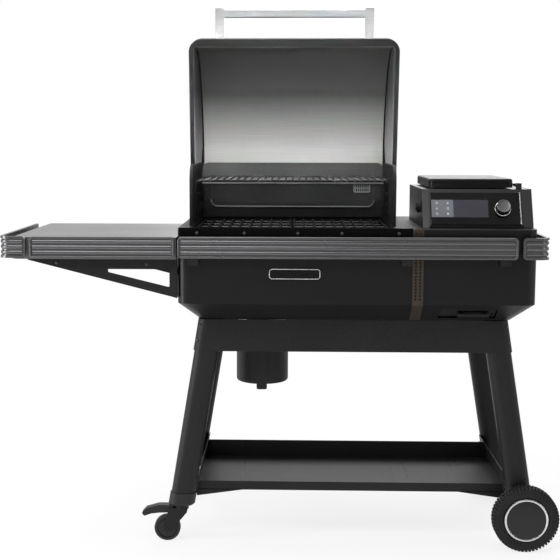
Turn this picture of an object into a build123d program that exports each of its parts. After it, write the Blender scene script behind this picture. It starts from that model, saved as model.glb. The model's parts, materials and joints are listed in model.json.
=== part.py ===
from build123d import *
import os
from math import atan2, cos, hypot, radians, sin, tan

# Pellet smoker grill, millimetres. X runs right, Y runs back from the face of the front rails,
# Z runs up from the floor. Every piece is built there, and the whole grill is then moved in X and Y
# so that the origin lies on the floor under the middle of its box. The hood is exported open.

# ---- Driving dimensions ----
LEFT = -757.0
RIGHT = 749.5
CLOSED_HEIGHT = 1219.0

# Sheet and tube thickness
SHEET = 2.0
HOOD_SHEET = 1.5
TUBE_WALL = 2.0

# Barrel casing
BARREL_CENTRE = 189.25
BARREL_WIDTH = 950.5
BARREL_FRONT = 22.0
BARREL_BACK = 570.0
DECK_TOP = 882.5
CHAMFER_TOP = 683.0
BARREL_BOTTOM = 631.0
CHAMFER_RUN_Y = 74.0
CHAMFER_RUN_X = 52.0

# Cooking chamber
CHAMBER_CENTRE = 19.75
CHAMBER_WIDTH = 546.7
CHAMBER_FRONT = 80.0
CHAMBER_BACK = 530.0
CHAMBER_PLATE = 8.0
CHAMBER_PLATE_FRONT = 140.0
CHAMBER_PLATE_TOP = 1047.0
GRATE_TOP = 877.0
UPPER_RACK_TOP = 1008.0
RACK_FRONT = 250.0
RACK_BACK = 490.0
TUB_BOTTOM = 672.0

# Hood, described closed: its front rim edge, its hinge line and how far it opens
HOOD_CENTRE = 22.0
HOOD_WIDTH = 630.0
HOOD_FRONT = 48.0
HOOD_RIM = 884.0
HOOD_DEPTH = 523.0
HOOD_HEIGHT = CLOSED_HEIGHT - HOOD_RIM
HOOD_EDGE_RADIUS = 38.0
LINER_EDGE_RADIUS = 10.0
HINGE_Y = 583.0
HINGE_Z = 884.0
HOOD_OPENING = 81.5

# Rails and side shelf
RAIL_TOP = 863.0
RAIL_HEIGHT = 57.5
RAIL_DEPTH = 15.0
RAIL_SIDE_DEPTH = 9.0
RAIL_SIDE_LENGTH = 476.0
RIGHT_RAIL_EDGE = 693.5
SHELF_LEFT = -724.0
SHELF_TOP = 859.5
SHELF_HEIGHT = 58.0
SHELF_BACK = 541.0

# Legs, bottom shelf, wheels
LEG_CENTRE = 185.0
LEG_FRONT = 96.0
LEG_WIDTH = 68.0
LEG_DEPTH = 54.0
LEG_RADIUS = 24.0
LEG_REAR_FRONT = 501.0
LEG_INNER_HALF = 365.0
LEG_SPLAY = tan(radians(9.35))
APRON_BOTTOM = 543.0
BOTTOM_SHELF_TOP = 162.0
BOTTOM_SHELF_FRONT = 153.0
BOTTOM_SHELF_BACK = 436.5
WHEEL_RADIUS = 90.3
WHEEL_WIDTH = 48.0
WHEEL_X = RIGHT - WHEEL_RADIUS
CASTER_RADIUS = 36.5
CASTER_TOP = 104.0
CASTER_TRAIL = 40.0

# Hopper
HOPPER_LEFT = 368.0
HOPPER_FRONT = 72.0
HOPPER_BACK = 460.0
HOPPER_TOP = 985.0
PANEL_FOOT = 890.0
PANEL_RUN = 46.0
PANEL_X = 507.0
PANEL_Z = 933.0
BIN_LEFT = 396.0
BIN_RIGHT = 604.0
BIN_FRONT = 140.0
BIN_BACK = 430.0
LID_LEFT = 388.0
LID_RIGHT = 612.0
LID_FRONT = 122.0
LID_BACK = 448.0
LID_HINGE_X = 619.0
LID_HINGE_Z = HOPPER_TOP + 11
KNOB_X = 73.0
KNOB_Y = -1.0
DISPLAY_X = -41.0
DISPLAY_Y = 0.0
DISPLAY_WIDTH = 151.0
DISPLAY_HEIGHT = 50.0

# Pellet feed, fire and grease
AUGER_Y = 300.0
AUGER_Z = 702.0
AUGER_TUBE_RADIUS = 24.0
AUGER_RADIUS = 20.0
AUGER_START = 96.0
AUGER_END = 585.0
BIN_OUTLET = (440.0, 500.0)
POT_X = 40.0
POT_TOP = 754.0
POT_RADIUS = 48.0
BLOWER_X = 380.0
BLOWER_Y = 170.0
BLOWER_Z = 705.0
KEG_X = -63.6
KEG_Y = 230.0
KEG_RADIUS = 73.0
KEG_BOTTOM = 438.0
KEG_TOP = 600.0
COLLAR_RADIUS = 40.0
EXHAUST_LEFT = -120.0
EXHAUST_RIGHT = 160.0
EXHAUST_BOTTOM = 720.0
EXHAUST_TOP = 800.0
SWITCH_X = 560.0
SWITCH_Z = 780.0
CLEANOUT_LEFT = 412.0
CLEANOUT_RIGHT = 566.0
CLEANOUT_TOP = 669.0
CLEANOUT_BOTTOM = 640.0

# Gaps
TOUCH = 0.5
RUN_FIT = 0.05

BARREL_LEFT = BARREL_CENTRE - BARREL_WIDTH / 2
BARREL_RIGHT = BARREL_CENTRE + BARREL_WIDTH / 2
CHAMBER_LEFT = CHAMBER_CENTRE - CHAMBER_WIDTH / 2
CHAMBER_RIGHT = CHAMBER_CENTRE + CHAMBER_WIDTH / 2
RAIL_BOTTOM = RAIL_TOP - RAIL_HEIGHT
SHELF_RIGHT = BARREL_LEFT - 2
SHELF_FOOT = SHELF_TOP - SHELF_HEIGHT
LEG_CENTRE_AT_APRON = LEG_INNER_HALF + LEG_WIDTH / 2
CASTER_X = LEG_CENTRE - LEG_CENTRE_AT_APRON - LEG_SPLAY * (APRON_BOTTOM - CASTER_TOP)
CASTER_YS = (LEG_FRONT + LEG_DEPTH / 2, LEG_REAR_FRONT + LEG_DEPTH / 2)
CASTER_WHEEL_X = CASTER_X - CASTER_TRAIL
BRAKE_X = CASTER_X - 30
BRAKE_Z = CASTER_TOP - 14
WHEEL_FRONTS = (LEG_FRONT - 6 - WHEEL_WIDTH, LEG_REAR_FRONT + LEG_DEPTH + 6)


# ---- Helpers ----
def block(x0, x1, y0, y1, z0, z1):
    """A box between two corners."""
    return Pos((x0 + x1) / 2, (y0 + y1) / 2, (z0 + z1) / 2) * Box(x1 - x0, y1 - y0, z1 - z0)


def slab(x0, x1, y0, y1, z0, z1, radius):
    """A box whose four upright edges are rounded."""
    outline = RectangleRounded(x1 - x0, y1 - y0, radius)
    return extrude(Pos((x0 + x1) / 2, (y0 + y1) / 2, z0) * outline, z1 - z0)


def panel(x0, x1, y0, y1, z0, z1, radius):
    """A plate facing front whose corners, seen from the front, are rounded."""
    outline = RectangleRounded(x1 - x0, z1 - z0, radius)
    return extrude(Plane.XZ.offset(-y0) * Pos((x0 + x1) / 2, (z0 + z1) / 2) * outline, -(y1 - y0))


def rod_x(x0, x1, y, z, radius):
    """A round bar that runs left to right."""
    return Pos((x0 + x1) / 2, y, z) * Rot(0, 90, 0) * Cylinder(radius, x1 - x0)


def rod_y(x, y0, y1, z, radius):
    """A round bar that runs front to back."""
    return Pos(x, (y0 + y1) / 2, z) * Rot(90, 0, 0) * Cylinder(radius, y1 - y0)


def rod_z(x, y, z0, z1, radius):
    """A round bar that stands upright."""
    return Pos(x, y, (z0 + z1) / 2) * Cylinder(radius, z1 - z0)


def side_profile(points, x0, x1):
    """A solid with a straight-sided outline in Y and Z, from x0 to x1."""
    plane = Plane(origin=(x0, 0, 0), x_dir=(0, 1, 0), z_dir=(1, 0, 0))
    return extrude(plane * make_face(Polyline(*points, close=True)), x1 - x0)


def front_profile(points, y0, y1):
    """A solid with a straight-sided outline in X and Z, from y0 to y1."""
    plane = Plane(origin=(0, y0, 0), x_dir=(1, 0, 0), z_dir=(0, -1, 0))
    return extrude(plane * make_face(Polyline(*points, close=True)), -(y1 - y0))


def rod_out(x, y, z, turn, start, end, radius):
    """A round bar lying level that points away from an upright line; turn 0 points to the front."""
    level = Pos(0, -(start + end) / 2, 0) * Rot(90, 0, 0) * Cylinder(radius, end - start)
    return Pos(x, y, z) * Rot(0, 0, turn) * level


def spread(first, last, count):
    """Evenly spaced values from first to last."""
    return [first + (last - first) * i / (count - 1) for i in range(count)]


def fused(pieces):
    """One solid made of overlapping pieces."""
    return pieces[0].fuse(*pieces[1:])


# ---- Barrel casing ----
def barrel_form(inset, top):
    """The casing's solid form: an upright box over a tapered bottom, drawn in by inset."""
    radius = 30.0 - inset
    depth = BARREL_BACK - BARREL_FRONT
    middle_y = (BARREL_BACK + BARREL_FRONT) / 2
    upper = Pos(BARREL_CENTRE, middle_y, CHAMFER_TOP) * RectangleRounded(
        BARREL_WIDTH - 2 * inset, depth - 2 * inset, radius
    )
    lower = Pos(BARREL_CENTRE, middle_y, BARREL_BOTTOM + inset) * RectangleRounded(
        BARREL_WIDTH - 2 * CHAMFER_RUN_X - 2 * inset, depth - 2 * CHAMFER_RUN_Y - 2 * inset, radius
    )
    return extrude(upper, top - CHAMFER_TOP) + loft([lower, upper])


def exhaust_opening(y0, y1, clear):
    """The square passage for smoke, cut or filled between two depths."""
    return block(
        EXHAUST_LEFT + clear, EXHAUST_RIGHT - clear, y0, y1, EXHAUST_BOTTOM + clear, EXHAUST_TOP - clear
    )


def barrel_shell():
    """The open-topped casing, with openings for the gate, the keg's throat, smoke and the switch."""
    shell = barrel_form(0, DECK_TOP - SHEET) - barrel_form(SHEET, DECK_TOP)
    shell -= block(CLEANOUT_LEFT, CLEANOUT_RIGHT, 0, 110, CLEANOUT_BOTTOM, CLEANOUT_TOP)
    shell -= rod_z(KEG_X, KEG_Y, BARREL_BOTTOM - 5, BARREL_BOTTOM + 10, COLLAR_RADIUS + TOUCH)
    shell -= exhaust_opening(BARREL_BACK - 10, BARREL_BACK + 5, 0)
    return shell - block(
        SWITCH_X - 10, SWITCH_X + 10, BARREL_BACK - 10, BARREL_BACK + 5, SWITCH_Z - 14, SWITCH_Z + 14
    )


def deck_plate():
    """The flat rim round the chamber that the closed hood sits on."""
    plate = slab(BARREL_LEFT, BARREL_RIGHT, BARREL_FRONT, BARREL_BACK, DECK_TOP - SHEET, DECK_TOP, 30)
    plate -= slab(CHAMBER_LEFT, CHAMBER_RIGHT, CHAMBER_FRONT, CHAMBER_BACK, DECK_TOP - 20, DECK_TOP + 20, 12)
    hopper_hole = block(BIN_LEFT - TOUCH, BIN_RIGHT + TOUCH, BIN_FRONT - TOUCH, BIN_BACK + TOUCH, 870, 890)
    return plate - hopper_hole


def chamber_tub():
    """The inner tub below the deck, with rounded corners and holes for the auger and the grease."""
    top = DECK_TOP - SHEET - TOUCH
    outer = slab(CHAMBER_LEFT, CHAMBER_RIGHT, CHAMBER_FRONT, CHAMBER_BACK, TUB_BOTTOM, top, 12)
    inner = slab(
        CHAMBER_LEFT + 2, CHAMBER_RIGHT - 2, CHAMBER_FRONT + 2, CHAMBER_BACK - 2, TUB_BOTTOM + 2, top + 5, 10
    )
    tub = outer - inner
    tub -= rod_x(CHAMBER_RIGHT - 10, CHAMBER_RIGHT + 10, AUGER_Y, AUGER_Z, AUGER_TUBE_RADIUS + TOUCH)
    tub -= rod_z(KEG_X, KEG_Y, TUB_BOTTOM - 5, TUB_BOTTOM + 10, COLLAR_RADIUS + TOUCH)
    return tub - exhaust_opening(CHAMBER_BACK - 10, CHAMBER_BACK + 5, 0)


def exhaust_duct():
    """The square tube that lets smoke out of the tub through the back of the casing."""
    back = BARREL_BACK + 32
    wall = 3.0
    duct = exhaust_opening(CHAMBER_BACK, back, 1) - exhaust_opening(CHAMBER_BACK - 5, back - wall, 1 + wall)
    slots = [
        block(x - 4, x + 4, back - 10, back + 5, EXHAUST_BOTTOM + 15, EXHAUST_TOP - 15)
        for x in spread(EXHAUST_LEFT + 25, EXHAUST_RIGHT - 25, 13)
    ]
    return duct - slots


def chamber_sides():
    """Upright plates either side of the grates; the hood closes over them."""
    radius = 45.0
    plates = []
    for x0 in (CHAMBER_LEFT - CHAMBER_PLATE, CHAMBER_RIGHT):
        foot = DECK_TOP + TOUCH
        back = CHAMBER_BACK
        plate = block(x0, x0 + CHAMBER_PLATE, CHAMBER_PLATE_FRONT, back, foot, CHAMBER_PLATE_TOP)
        corner = plate.edges().filter_by(Axis.X).sort_by(lambda e: e.center().Z - e.center().Y)[-1]
        plates.append(fillet(corner, radius))
    return plates


def chamber_back():
    """The rear plate between the side plates, with a pressed bead and a slotted vent cover."""
    x0 = CHAMBER_LEFT + TOUCH
    x1 = CHAMBER_RIGHT - TOUCH
    y1 = CHAMBER_BACK
    y0 = y1 - 8
    foot = DECK_TOP + TOUCH
    plate = panel(x0, x1, y0, y1, foot, CHAMBER_PLATE_TOP, 18)
    plate += block(x0, x1, y0, y1, foot, foot + 40)
    bead = panel(x0 + 22, x1 - 22, y0 - 3, y0, foot + 28, CHAMBER_PLATE_TOP - 16, 24)
    bead -= panel(x0 + 28, x1 - 28, y0 - 5, y0 + 5, foot + 34, CHAMBER_PLATE_TOP - 22, 18)
    cover_x = x1 - 64
    cover_z = 971.0
    cover = panel(cover_x - 25, cover_x + 25, y0 - 9, y0, cover_z - 13, cover_z + 13, 5)
    slots = [
        block(x - 2, x + 2, y0 - 12, y0 - 4, z - 3.5, z + 3.5)
        for x in spread(cover_x - 18, cover_x + 18, 6)
        for z in (cover_z - 5.5, cover_z + 5.5)
    ]
    return plate + bead + (cover - slots)


HANGER_YS = (275.0, 478.0)
RACK_ROD = 2.0
RACK_FRAME = 3.0
RACK_RUNNER = 3.5
RACK_LOW = UPPER_RACK_TOP - 2 * RACK_ROD - RACK_FRAME + 1.2
HANGER_STRIP = 3.0


def rack_hangers():
    """Strips on the side plates with three levels of hooks for the upper rack."""
    hangers = []
    foot = DECK_TOP + 22
    top = CHAMBER_PLATE_TOP - 27
    first_hook = RACK_LOW - RACK_RUNNER - TOUCH
    for side in (-1, 1):
        face = CHAMBER_CENTRE + side * CHAMBER_WIDTH / 2
        near, far = sorted((face, face - side * HANGER_STRIP))
        near_hook, far_hook = sorted((face - side * HANGER_STRIP, face - side * 12))
        pieces = [block(near, far, HANGER_YS[0], HANGER_YS[1], foot, foot + 6)]
        for y in HANGER_YS:
            pieces.append(block(near, far, y - 9, y + 9, foot, top))
            for level in spread(first_hook, first_hook - 60, 3):
                pieces.append(block(near_hook, far_hook, y - 8, y + 8, level - 3, level))
        hangers.append(fused(pieces))
    return hangers


LIP_RIGHT = 335.5
LIP_SCREWS = (-232.0, -107.0, 34.0, 150.0, 299.5)


def front_lip():
    """The folded strip along the top of the casing's front."""
    face = BARREL_FRONT - 3
    strip = block(BARREL_LEFT + 6, LIP_RIGHT, face, BARREL_FRONT - TOUCH, DECK_TOP - 20, DECK_TOP + 3.5)
    strip += block(BARREL_LEFT + 6, LIP_RIGHT, face, BARREL_FRONT + 14, DECK_TOP + 1, DECK_TOP + 3.5)
    return strip


STRIP_LEFT = 336.5
STRIP_RIGHT = 365.0
STRIP_OUT = 2.2
STRIP_GAP = 0.4


def vent_strip():
    """A perforated bronze band down the front of the casing and over its chamfer."""
    angle = atan2(CHAMFER_TOP - BARREL_BOTTOM, CHAMFER_RUN_Y)
    length = hypot(CHAMFER_TOP - BARREL_BOTTOM, CHAMFER_RUN_Y) - 6

    def bend(out):
        """Where the band turns, at a distance out from the casing."""
        return (BARREL_FRONT - out, CHAMFER_TOP - out * (1 - sin(angle)) / cos(angle))

    def toe(out):
        along_y = BARREL_FRONT + length * cos(angle)
        along_z = CHAMFER_TOP - length * sin(angle)
        return (along_y - out * sin(angle), along_z - out * cos(angle))

    outer = BARREL_FRONT - STRIP_OUT
    inner = BARREL_FRONT - STRIP_GAP
    band = side_profile(
        [
            (outer, DECK_TOP + 1),
            bend(STRIP_OUT),
            toe(STRIP_OUT),
            toe(STRIP_GAP),
            bend(STRIP_GAP),
            (inner, DECK_TOP + 1),
        ],
        STRIP_LEFT,
        STRIP_RIGHT,
    )
    holes = []
    for column in (STRIP_LEFT + 8.5, STRIP_RIGHT - 8.5):
        for z in spread(CHAMFER_TOP + 15, DECK_TOP - 11, 21):
            holes.append(rod_y(column, outer - 2, inner + 2, z, 3.1))
    return band - holes


def name_plate():
    """A blank plate with a raised border."""
    x0, x1, z0, z1 = -42.0, 94.0, 750.0, 778.0
    face = BARREL_FRONT - TOUCH
    plate = panel(x0, x1, face - 2.5, face, z0, z1, 9)
    border = panel(x0, x1, face - 4, face - 2.5, z0, z1, 9) - panel(
        x0 + 3, x1 - 3, face - 6, face, z0 + 3, z1 - 3, 6
    )
    return plate + border


# ---- Fire and smoke parts inside the tub ----
def drip_tray():
    """A shallow tray under the grates that drains towards the keg."""
    z = 812.0
    y0 = CHAMBER_FRONT + 12
    y1 = CHAMBER_BACK - 12
    wall = 2.0
    tray = slab(CHAMBER_LEFT + 10, CHAMBER_RIGHT - 10, y0, y1, z, z + 16, 10)
    tray -= slab(
        CHAMBER_LEFT + 10 + wall, CHAMBER_RIGHT - 10 - wall, y0 + wall, y1 - wall, z + wall, z + 20, 8
    )
    return tray - rod_z(KEG_X - 120, KEG_Y, z - 5, z + 10, 10)


def heat_baffle():
    """A plate over the fire pot, on four short pegs."""
    plate = block(POT_X - 130, POT_X + 100, 200, 420, 780, 784)
    pegs = [rod_z(x, y, 745, 781, 4) for x in (POT_X - 120, POT_X + 90) for y in (215, 405)]
    return fused([plate] + pegs)


IGNITER_Z = TUB_BOTTOM + 22


def fire_pot():
    """The cup that the auger feeds; its side is drilled for air."""
    outer = rod_z(POT_X, AUGER_Y, TUB_BOTTOM + 8, POT_TOP, POT_RADIUS)
    cup = outer - rod_z(POT_X, AUGER_Y, TUB_BOTTOM + 12, POT_TOP + 5, POT_RADIUS - 3)
    cup -= rod_x(POT_X + 20, POT_X + 70, AUGER_Y, AUGER_Z, AUGER_TUBE_RADIUS + TOUCH)
    cup -= rod_y(POT_X, AUGER_Y - 60, AUGER_Y - 20, IGNITER_Z, 5.5)
    air_z = (TUB_BOTTOM + POT_TOP) / 2 + 12
    return cup - [rod_x(POT_X - 60, POT_X - 30, AUGER_Y + dy, air_z, 3) for dy in (-20, 0, 20)]


def igniter():
    """A hot rod that enters the fire pot from the front."""
    tip = rod_y(POT_X, AUGER_Y - 105, AUGER_Y - 15, IGNITER_Z, 5)
    return tip + rod_y(POT_X, AUGER_Y - 125, AUGER_Y - 100, IGNITER_Z, 8)


def auger_tube():
    tube = rod_x(AUGER_START, AUGER_END, AUGER_Y, AUGER_Z, AUGER_TUBE_RADIUS)
    tube -= rod_x(AUGER_START - 5, AUGER_END + 5, AUGER_Y, AUGER_Z, AUGER_TUBE_RADIUS - 2.5)
    inlet = block(*BIN_OUTLET, AUGER_Y - 18, AUGER_Y + 18, AUGER_Z + 5, AUGER_Z + 40)
    return tube - inlet


def auger():
    """A shaft with a helical flight, shown as evenly pitched inclined blades."""
    shaft = rod_x(AUGER_START + 5, AUGER_END + 13, AUGER_Y, AUGER_Z, 6)
    blades = []
    for x in spread(AUGER_START + 15, AUGER_END - 20, 19):
        disc = Pos(x, AUGER_Y, AUGER_Z) * Rot(0, 90 - 14, 0) * Cylinder(AUGER_RADIUS - 0.6, 3)
        blades.append(disc)
    return fused([shaft] + blades)


def auger_motor():
    """A gear motor with a socket for the auger's shaft."""
    body = block(AUGER_END + 8, AUGER_END + 44, AUGER_Y - 32, AUGER_Y + 32, AUGER_Z - 22, AUGER_Z + 38)
    flange = rod_x(AUGER_END + TOUCH, AUGER_END + 8, AUGER_Y, AUGER_Z, 22)
    return body + flange - rod_x(AUGER_END - 5, AUGER_END + 20, AUGER_Y, AUGER_Z, 6 + RUN_FIT)


def blower_housing():
    outer = rod_x(BLOWER_X - 20, BLOWER_X + 20, BLOWER_Y, BLOWER_Z, 48)
    nozzle_low = BLOWER_Z - 46
    nozzle_top = BLOWER_Z - 16
    outer += block(BLOWER_X - 18, BLOWER_X + 18, BLOWER_Y + 10, BLOWER_Y + 75, nozzle_low, nozzle_top)
    outer -= rod_x(BLOWER_X - 17, BLOWER_X + 17, BLOWER_Y, BLOWER_Z, 45)
    outer -= rod_x(BLOWER_X - 30, BLOWER_X, BLOWER_Y, BLOWER_Z, 24)
    outer -= block(
        BLOWER_X - 15, BLOWER_X + 15, BLOWER_Y + 20, BLOWER_Y + 80, nozzle_low + 3, nozzle_top - 3
    )
    spindle = rod_x(BLOWER_X - 14, BLOWER_X + 19, BLOWER_Y, BLOWER_Z, 3)
    return outer + spindle


def blower_wheel():
    """A drum of flat blades on a back plate, running on the housing's spindle."""
    plate = rod_x(BLOWER_X + 6, BLOWER_X + 9, BLOWER_Y, BLOWER_Z, 40)
    hub = rod_x(BLOWER_X - 8, BLOWER_X + 9, BLOWER_Y, BLOWER_Z, 9)
    blades = []
    for i in range(16):
        blade = Rot(i * 360 / 16, 0, 0) * Pos(0, 34, 0) * Box(18, 10, 1.5)
        blades.append(Pos(BLOWER_X - 2, BLOWER_Y, BLOWER_Z) * blade)
    wheel = fused([plate, hub] + blades)
    return wheel - rod_x(BLOWER_X - 20, BLOWER_X + 25, BLOWER_Y, BLOWER_Z, 3 + RUN_FIT)


# ---- Grates and rack ----
def wire_grid(x0, x1, y0, y1, top, rods, cross, rod_radius, frame_radius):
    """Round bars running front to back, in a frame with cross bars."""
    z = top - rod_radius
    low = z - rod_radius - frame_radius + 1.2
    cross_ys = spread(y0 + frame_radius, y1 - frame_radius, cross)
    rod_xs = spread(x0 + rod_radius, x1 - rod_radius, rods)
    pieces = [rod_x(x0, x1, y, low, frame_radius) for y in cross_ys]
    pieces += [rod_y(x, y0, y1, z, rod_radius) for x in rod_xs]
    return fused(pieces)


def lower_grates():
    """Two heavy grates side by side that fill the chamber's mouth."""
    half = CHAMBER_WIDTH / 2 - 6
    y0 = CHAMBER_FRONT + 5
    y1 = CHAMBER_BACK - 12
    rods = 10
    return [
        wire_grid(CHAMBER_CENTRE + near, CHAMBER_CENTRE + far, y0, y1, GRATE_TOP, rods, 5, 3.5, 4)
        for near, far in ((-half, -2), (2, half))
    ]


def upper_rack():
    """A lighter wire rack that hangs between the side plates and pulls forward."""
    x0 = CHAMBER_LEFT + HANGER_STRIP + 2.5
    x1 = CHAMBER_RIGHT - HANGER_STRIP - 2.5
    axis_z = UPPER_RACK_TOP - RACK_ROD
    toe = UPPER_RACK_TOP - 14
    rod_front = RACK_FRONT + RACK_FRAME
    pieces = []
    for x in spread(x0 + 16, x1 - 16, 27):
        pieces.append(rod_y(x, rod_front, RACK_BACK, axis_z, RACK_ROD))
        pieces.append(rod_z(x, rod_front, toe, UPPER_RACK_TOP + 0.6, RACK_ROD + 0.4))
    pieces.append(rod_x(x0 + 14, x1 - 14, rod_front, toe, RACK_FRAME))
    runner_xs = (x0 + RACK_RUNNER, x1 - RACK_RUNNER)
    for y in spread(RACK_FRONT + 22, RACK_BACK - RACK_FRAME - 2, 4):
        pieces.append(rod_x(*runner_xs, y, RACK_LOW, RACK_FRAME))
    for x in runner_xs:
        pieces.append(rod_y(x, RACK_FRONT + 12, RACK_BACK, RACK_LOW, RACK_RUNNER))
    return fused(pieces)


# ---- Hood ----
def hood_form(inset, side_inset, edge_radius, bottom=0.0):
    """The closed hood's solid form: an elliptical front rising to a flat top, with soft ends."""
    crown_y = 390.0
    crown_z = 40.0
    corner = max(HOOD_EDGE_RADIUS + 3 - inset, 4.0)
    front = inset
    top = HOOD_HEIGHT - inset
    back = HOOD_DEPTH - inset
    with BuildLine() as outline:
        Line((crown_y, bottom), (front, bottom))
        Line((front, bottom), (front, crown_z))
        EllipticalCenterArc((crown_y, crown_z), crown_y - front, top - crown_z, 180, arc_size=-90)
        Line((crown_y, top), (back - corner, top))
        RadiusArc((back - corner, top), (back, top - corner), corner)
        Line((back, top - corner), (back, bottom))
        Line((back, bottom), (crown_y, bottom))
    half = HOOD_WIDTH / 2 - side_inset
    plane = Plane(
        origin=(HOOD_CENTRE - half, HOOD_FRONT, HOOD_RIM), x_dir=(0, 1, 0), z_dir=(1, 0, 0)
    )
    form = extrude(plane * make_face(outline.line), 2 * half)
    ends = [f for f in form.faces() if abs(f.normal_at().X) > 0.99]
    edges = [e for f in ends for e in f.edges() if e.center().Z > HOOD_RIM + bottom + 1]
    return fillet(edges, edge_radius)


def opened(shape):
    """Turns a piece of the closed hood to where it stands with the hood open."""
    return shape.rotate(Axis((0, HINGE_Y, HINGE_Z), (1, 0, 0)), -HOOD_OPENING)


RIM_FRONT_BAND = 22.0
RIM_SIDE_BAND = 13.0
KNUCKLE_RADIUS = 9.0
PIN_RADIUS = 5.0
HINGE_X = (HOOD_CENTRE - 245, HOOD_CENTRE + 245)


def hood_shell():
    """The outer skin, its inward rim and its two hinge knuckles."""
    skin = hood_form(0, 0, HOOD_EDGE_RADIUS)
    skin -= hood_form(HOOD_SHEET, HOOD_SHEET, HOOD_EDGE_RADIUS - HOOD_SHEET, -10)
    inner = hood_form(RIM_FRONT_BAND, RIM_SIDE_BAND, LINER_EDGE_RADIUS, -10)
    rim = hood_form(0, 0, HOOD_EDGE_RADIUS) & block(
        LEFT, RIGHT, HOOD_FRONT - 5, HOOD_FRONT + HOOD_DEPTH + 5, HOOD_RIM, HOOD_RIM + 4
    )
    shell = skin + (rim - inner)
    for x in HINGE_X:
        shell += rod_x(x - 20, x + 20, HINGE_Y, HINGE_Z, KNUCKLE_RADIUS)
        shell += block(x - 20, x + 20, HOOD_FRONT + HOOD_DEPTH - 1.2, HINGE_Y, HINGE_Z + 1, HINGE_Z + 8.5)
        shell -= rod_x(x - 30, x + 30, HINGE_Y, HINGE_Z, PIN_RADIUS + RUN_FIT)
    return opened(shell)


def hood_liner():
    """The inner skin, standing clear of the outer one."""
    gap = 0.6
    front = RIM_FRONT_BAND + gap
    side = RIM_SIDE_BAND + gap
    outer = hood_form(front, side, LINER_EDGE_RADIUS - gap)
    inner = hood_form(front + HOOD_SHEET, side + HOOD_SHEET, LINER_EDGE_RADIUS - gap - HOOD_SHEET, -10)
    return opened(outer - inner)


HANDLE_CENTRE = 23.0
HANDLE_POST = 222.2
HANDLE_REACH = 87.0


def hood_handle():
    """A bevelled bar between two posts that stand out from the lower front of the hood."""
    z0 = HOOD_RIM + 12
    z1 = z0 + 16
    post_half = 13.2
    front = HOOD_FRONT - HANDLE_REACH
    inner = HANDLE_POST - post_half + 1
    bar = block(HANDLE_CENTRE - inner, HANDLE_CENTRE + inner, front, front + 26, z0 + 0.8, z1 - 0.8)
    bar = chamfer(bar.edges().filter_by(Axis.X), 3)
    pieces = [bar]
    for side in (-1, 1):
        centre = HANDLE_CENTRE + side * HANDLE_POST
        post = block(centre - post_half, centre + post_half, front - 5, HOOD_FRONT - TOUCH, z0, z1)
        outer_end = post.faces().sort_by(Axis.Y)[0]
        pieces.append(fillet(outer_end.edges(), 2.5))
    return opened(fused(pieces))


def hood_hinges():
    """Hinge brackets behind the casing, each with its pin through the hood's knuckle."""
    hinges = []
    for x in HINGE_X:
        leaf = block(x - 34, x + 34, BARREL_BACK + TOUCH, BARREL_BACK + 3.5, HINGE_Z - 70, HINGE_Z - 12)
        pieces = [leaf]
        for side in (-1, 1):
            near, far = sorted((x + side * 22, x + side * 27))
            pieces.append(block(near, far, BARREL_BACK + TOUCH, HINGE_Y + 8, HINGE_Z - 60, HINGE_Z))
            pieces.append(rod_x(near, far, HINGE_Y, HINGE_Z, 8))
        pieces.append(rod_x(x - 30, x + 30, HINGE_Y, HINGE_Z, PIN_RADIUS))
        hinges.append(fused(pieces))
    return hinges


# ---- Hopper ----
def hopper_outline(front, inset, z):
    """The housing's plan at one height: bevelled front corners and a square back."""
    left = HOPPER_LEFT + inset
    right = BARREL_RIGHT - inset
    back = HOPPER_BACK - inset
    y0 = front + inset
    plan = [(left, y0 + 13), (left + 16, y0), (right - 30, y0), (right, y0 + 24), (right, back), (left, back)]
    return make_face(Polyline(*[(x, y, z) for x, y in plan], close=True))


def hopper_outer(inset):
    """The housing's solid form: a short upright foot, a sloping front and a flat top."""
    foot = DECK_TOP + TOUCH - inset
    top = HOPPER_TOP - inset
    lean = PANEL_RUN / (HOPPER_TOP - PANEL_FOOT)
    at_foot = hopper_outline(HOPPER_FRONT, inset, PANEL_FOOT)
    at_top = hopper_outline(HOPPER_FRONT + lean * (top - PANEL_FOOT), inset, top)
    lower = extrude(hopper_outline(HOPPER_FRONT, inset, foot), PANEL_FOOT - foot)
    return lower + loft([at_foot, at_top])


def panel_plane():
    """The sloping control face: x to the right, y up the slope, z out of the face."""
    rise = HOPPER_TOP - PANEL_FOOT
    length = hypot(rise, PANEL_RUN)
    centre = (PANEL_X, HOPPER_FRONT + PANEL_RUN * (PANEL_Z - PANEL_FOOT) / rise, PANEL_Z)
    return Plane(origin=centre, x_dir=(1, 0, 0), z_dir=(0, -rise / length, PANEL_RUN / length))


def on_panel(x, y, z, shape):
    return panel_plane() * Pos(x, y, z) * shape


def lid_pin(y):
    """One short hinge pin for the lid, held in two ears on a block."""
    near = LID_HINGE_X - 3
    pin = rod_y(LID_HINGE_X, y - 14, y + 14, LID_HINGE_Z, 2.5)
    for ear in (y - 14, y + 11):
        pin += block(near, LID_HINGE_X + 6, ear, ear + 3, LID_HINGE_Z - 3, LID_HINGE_Z + 3)
    return pin + block(LID_HINGE_X + 5, LID_HINGE_X + 16, y - 14, y + 14, HOPPER_TOP - 1, LID_HINGE_Z + 5)


LID_HINGE_YS = (LID_FRONT + 16, LID_BACK - 40)


def hopper_housing():
    """The housing over the bin, with the lid's hinge pins and a hole for the knob's shaft."""
    housing = hopper_outer(0) - hopper_outer(SHEET)
    housing -= block(
        BIN_LEFT - TOUCH, BIN_RIGHT + TOUCH, BIN_FRONT - TOUCH, BIN_BACK + TOUCH, 900, HOPPER_TOP + 5
    )
    housing -= on_panel(KNOB_X, KNOB_Y, 0, Cylinder(9, 40))
    return fused([housing] + [lid_pin(y) for y in LID_HINGE_YS])


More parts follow.
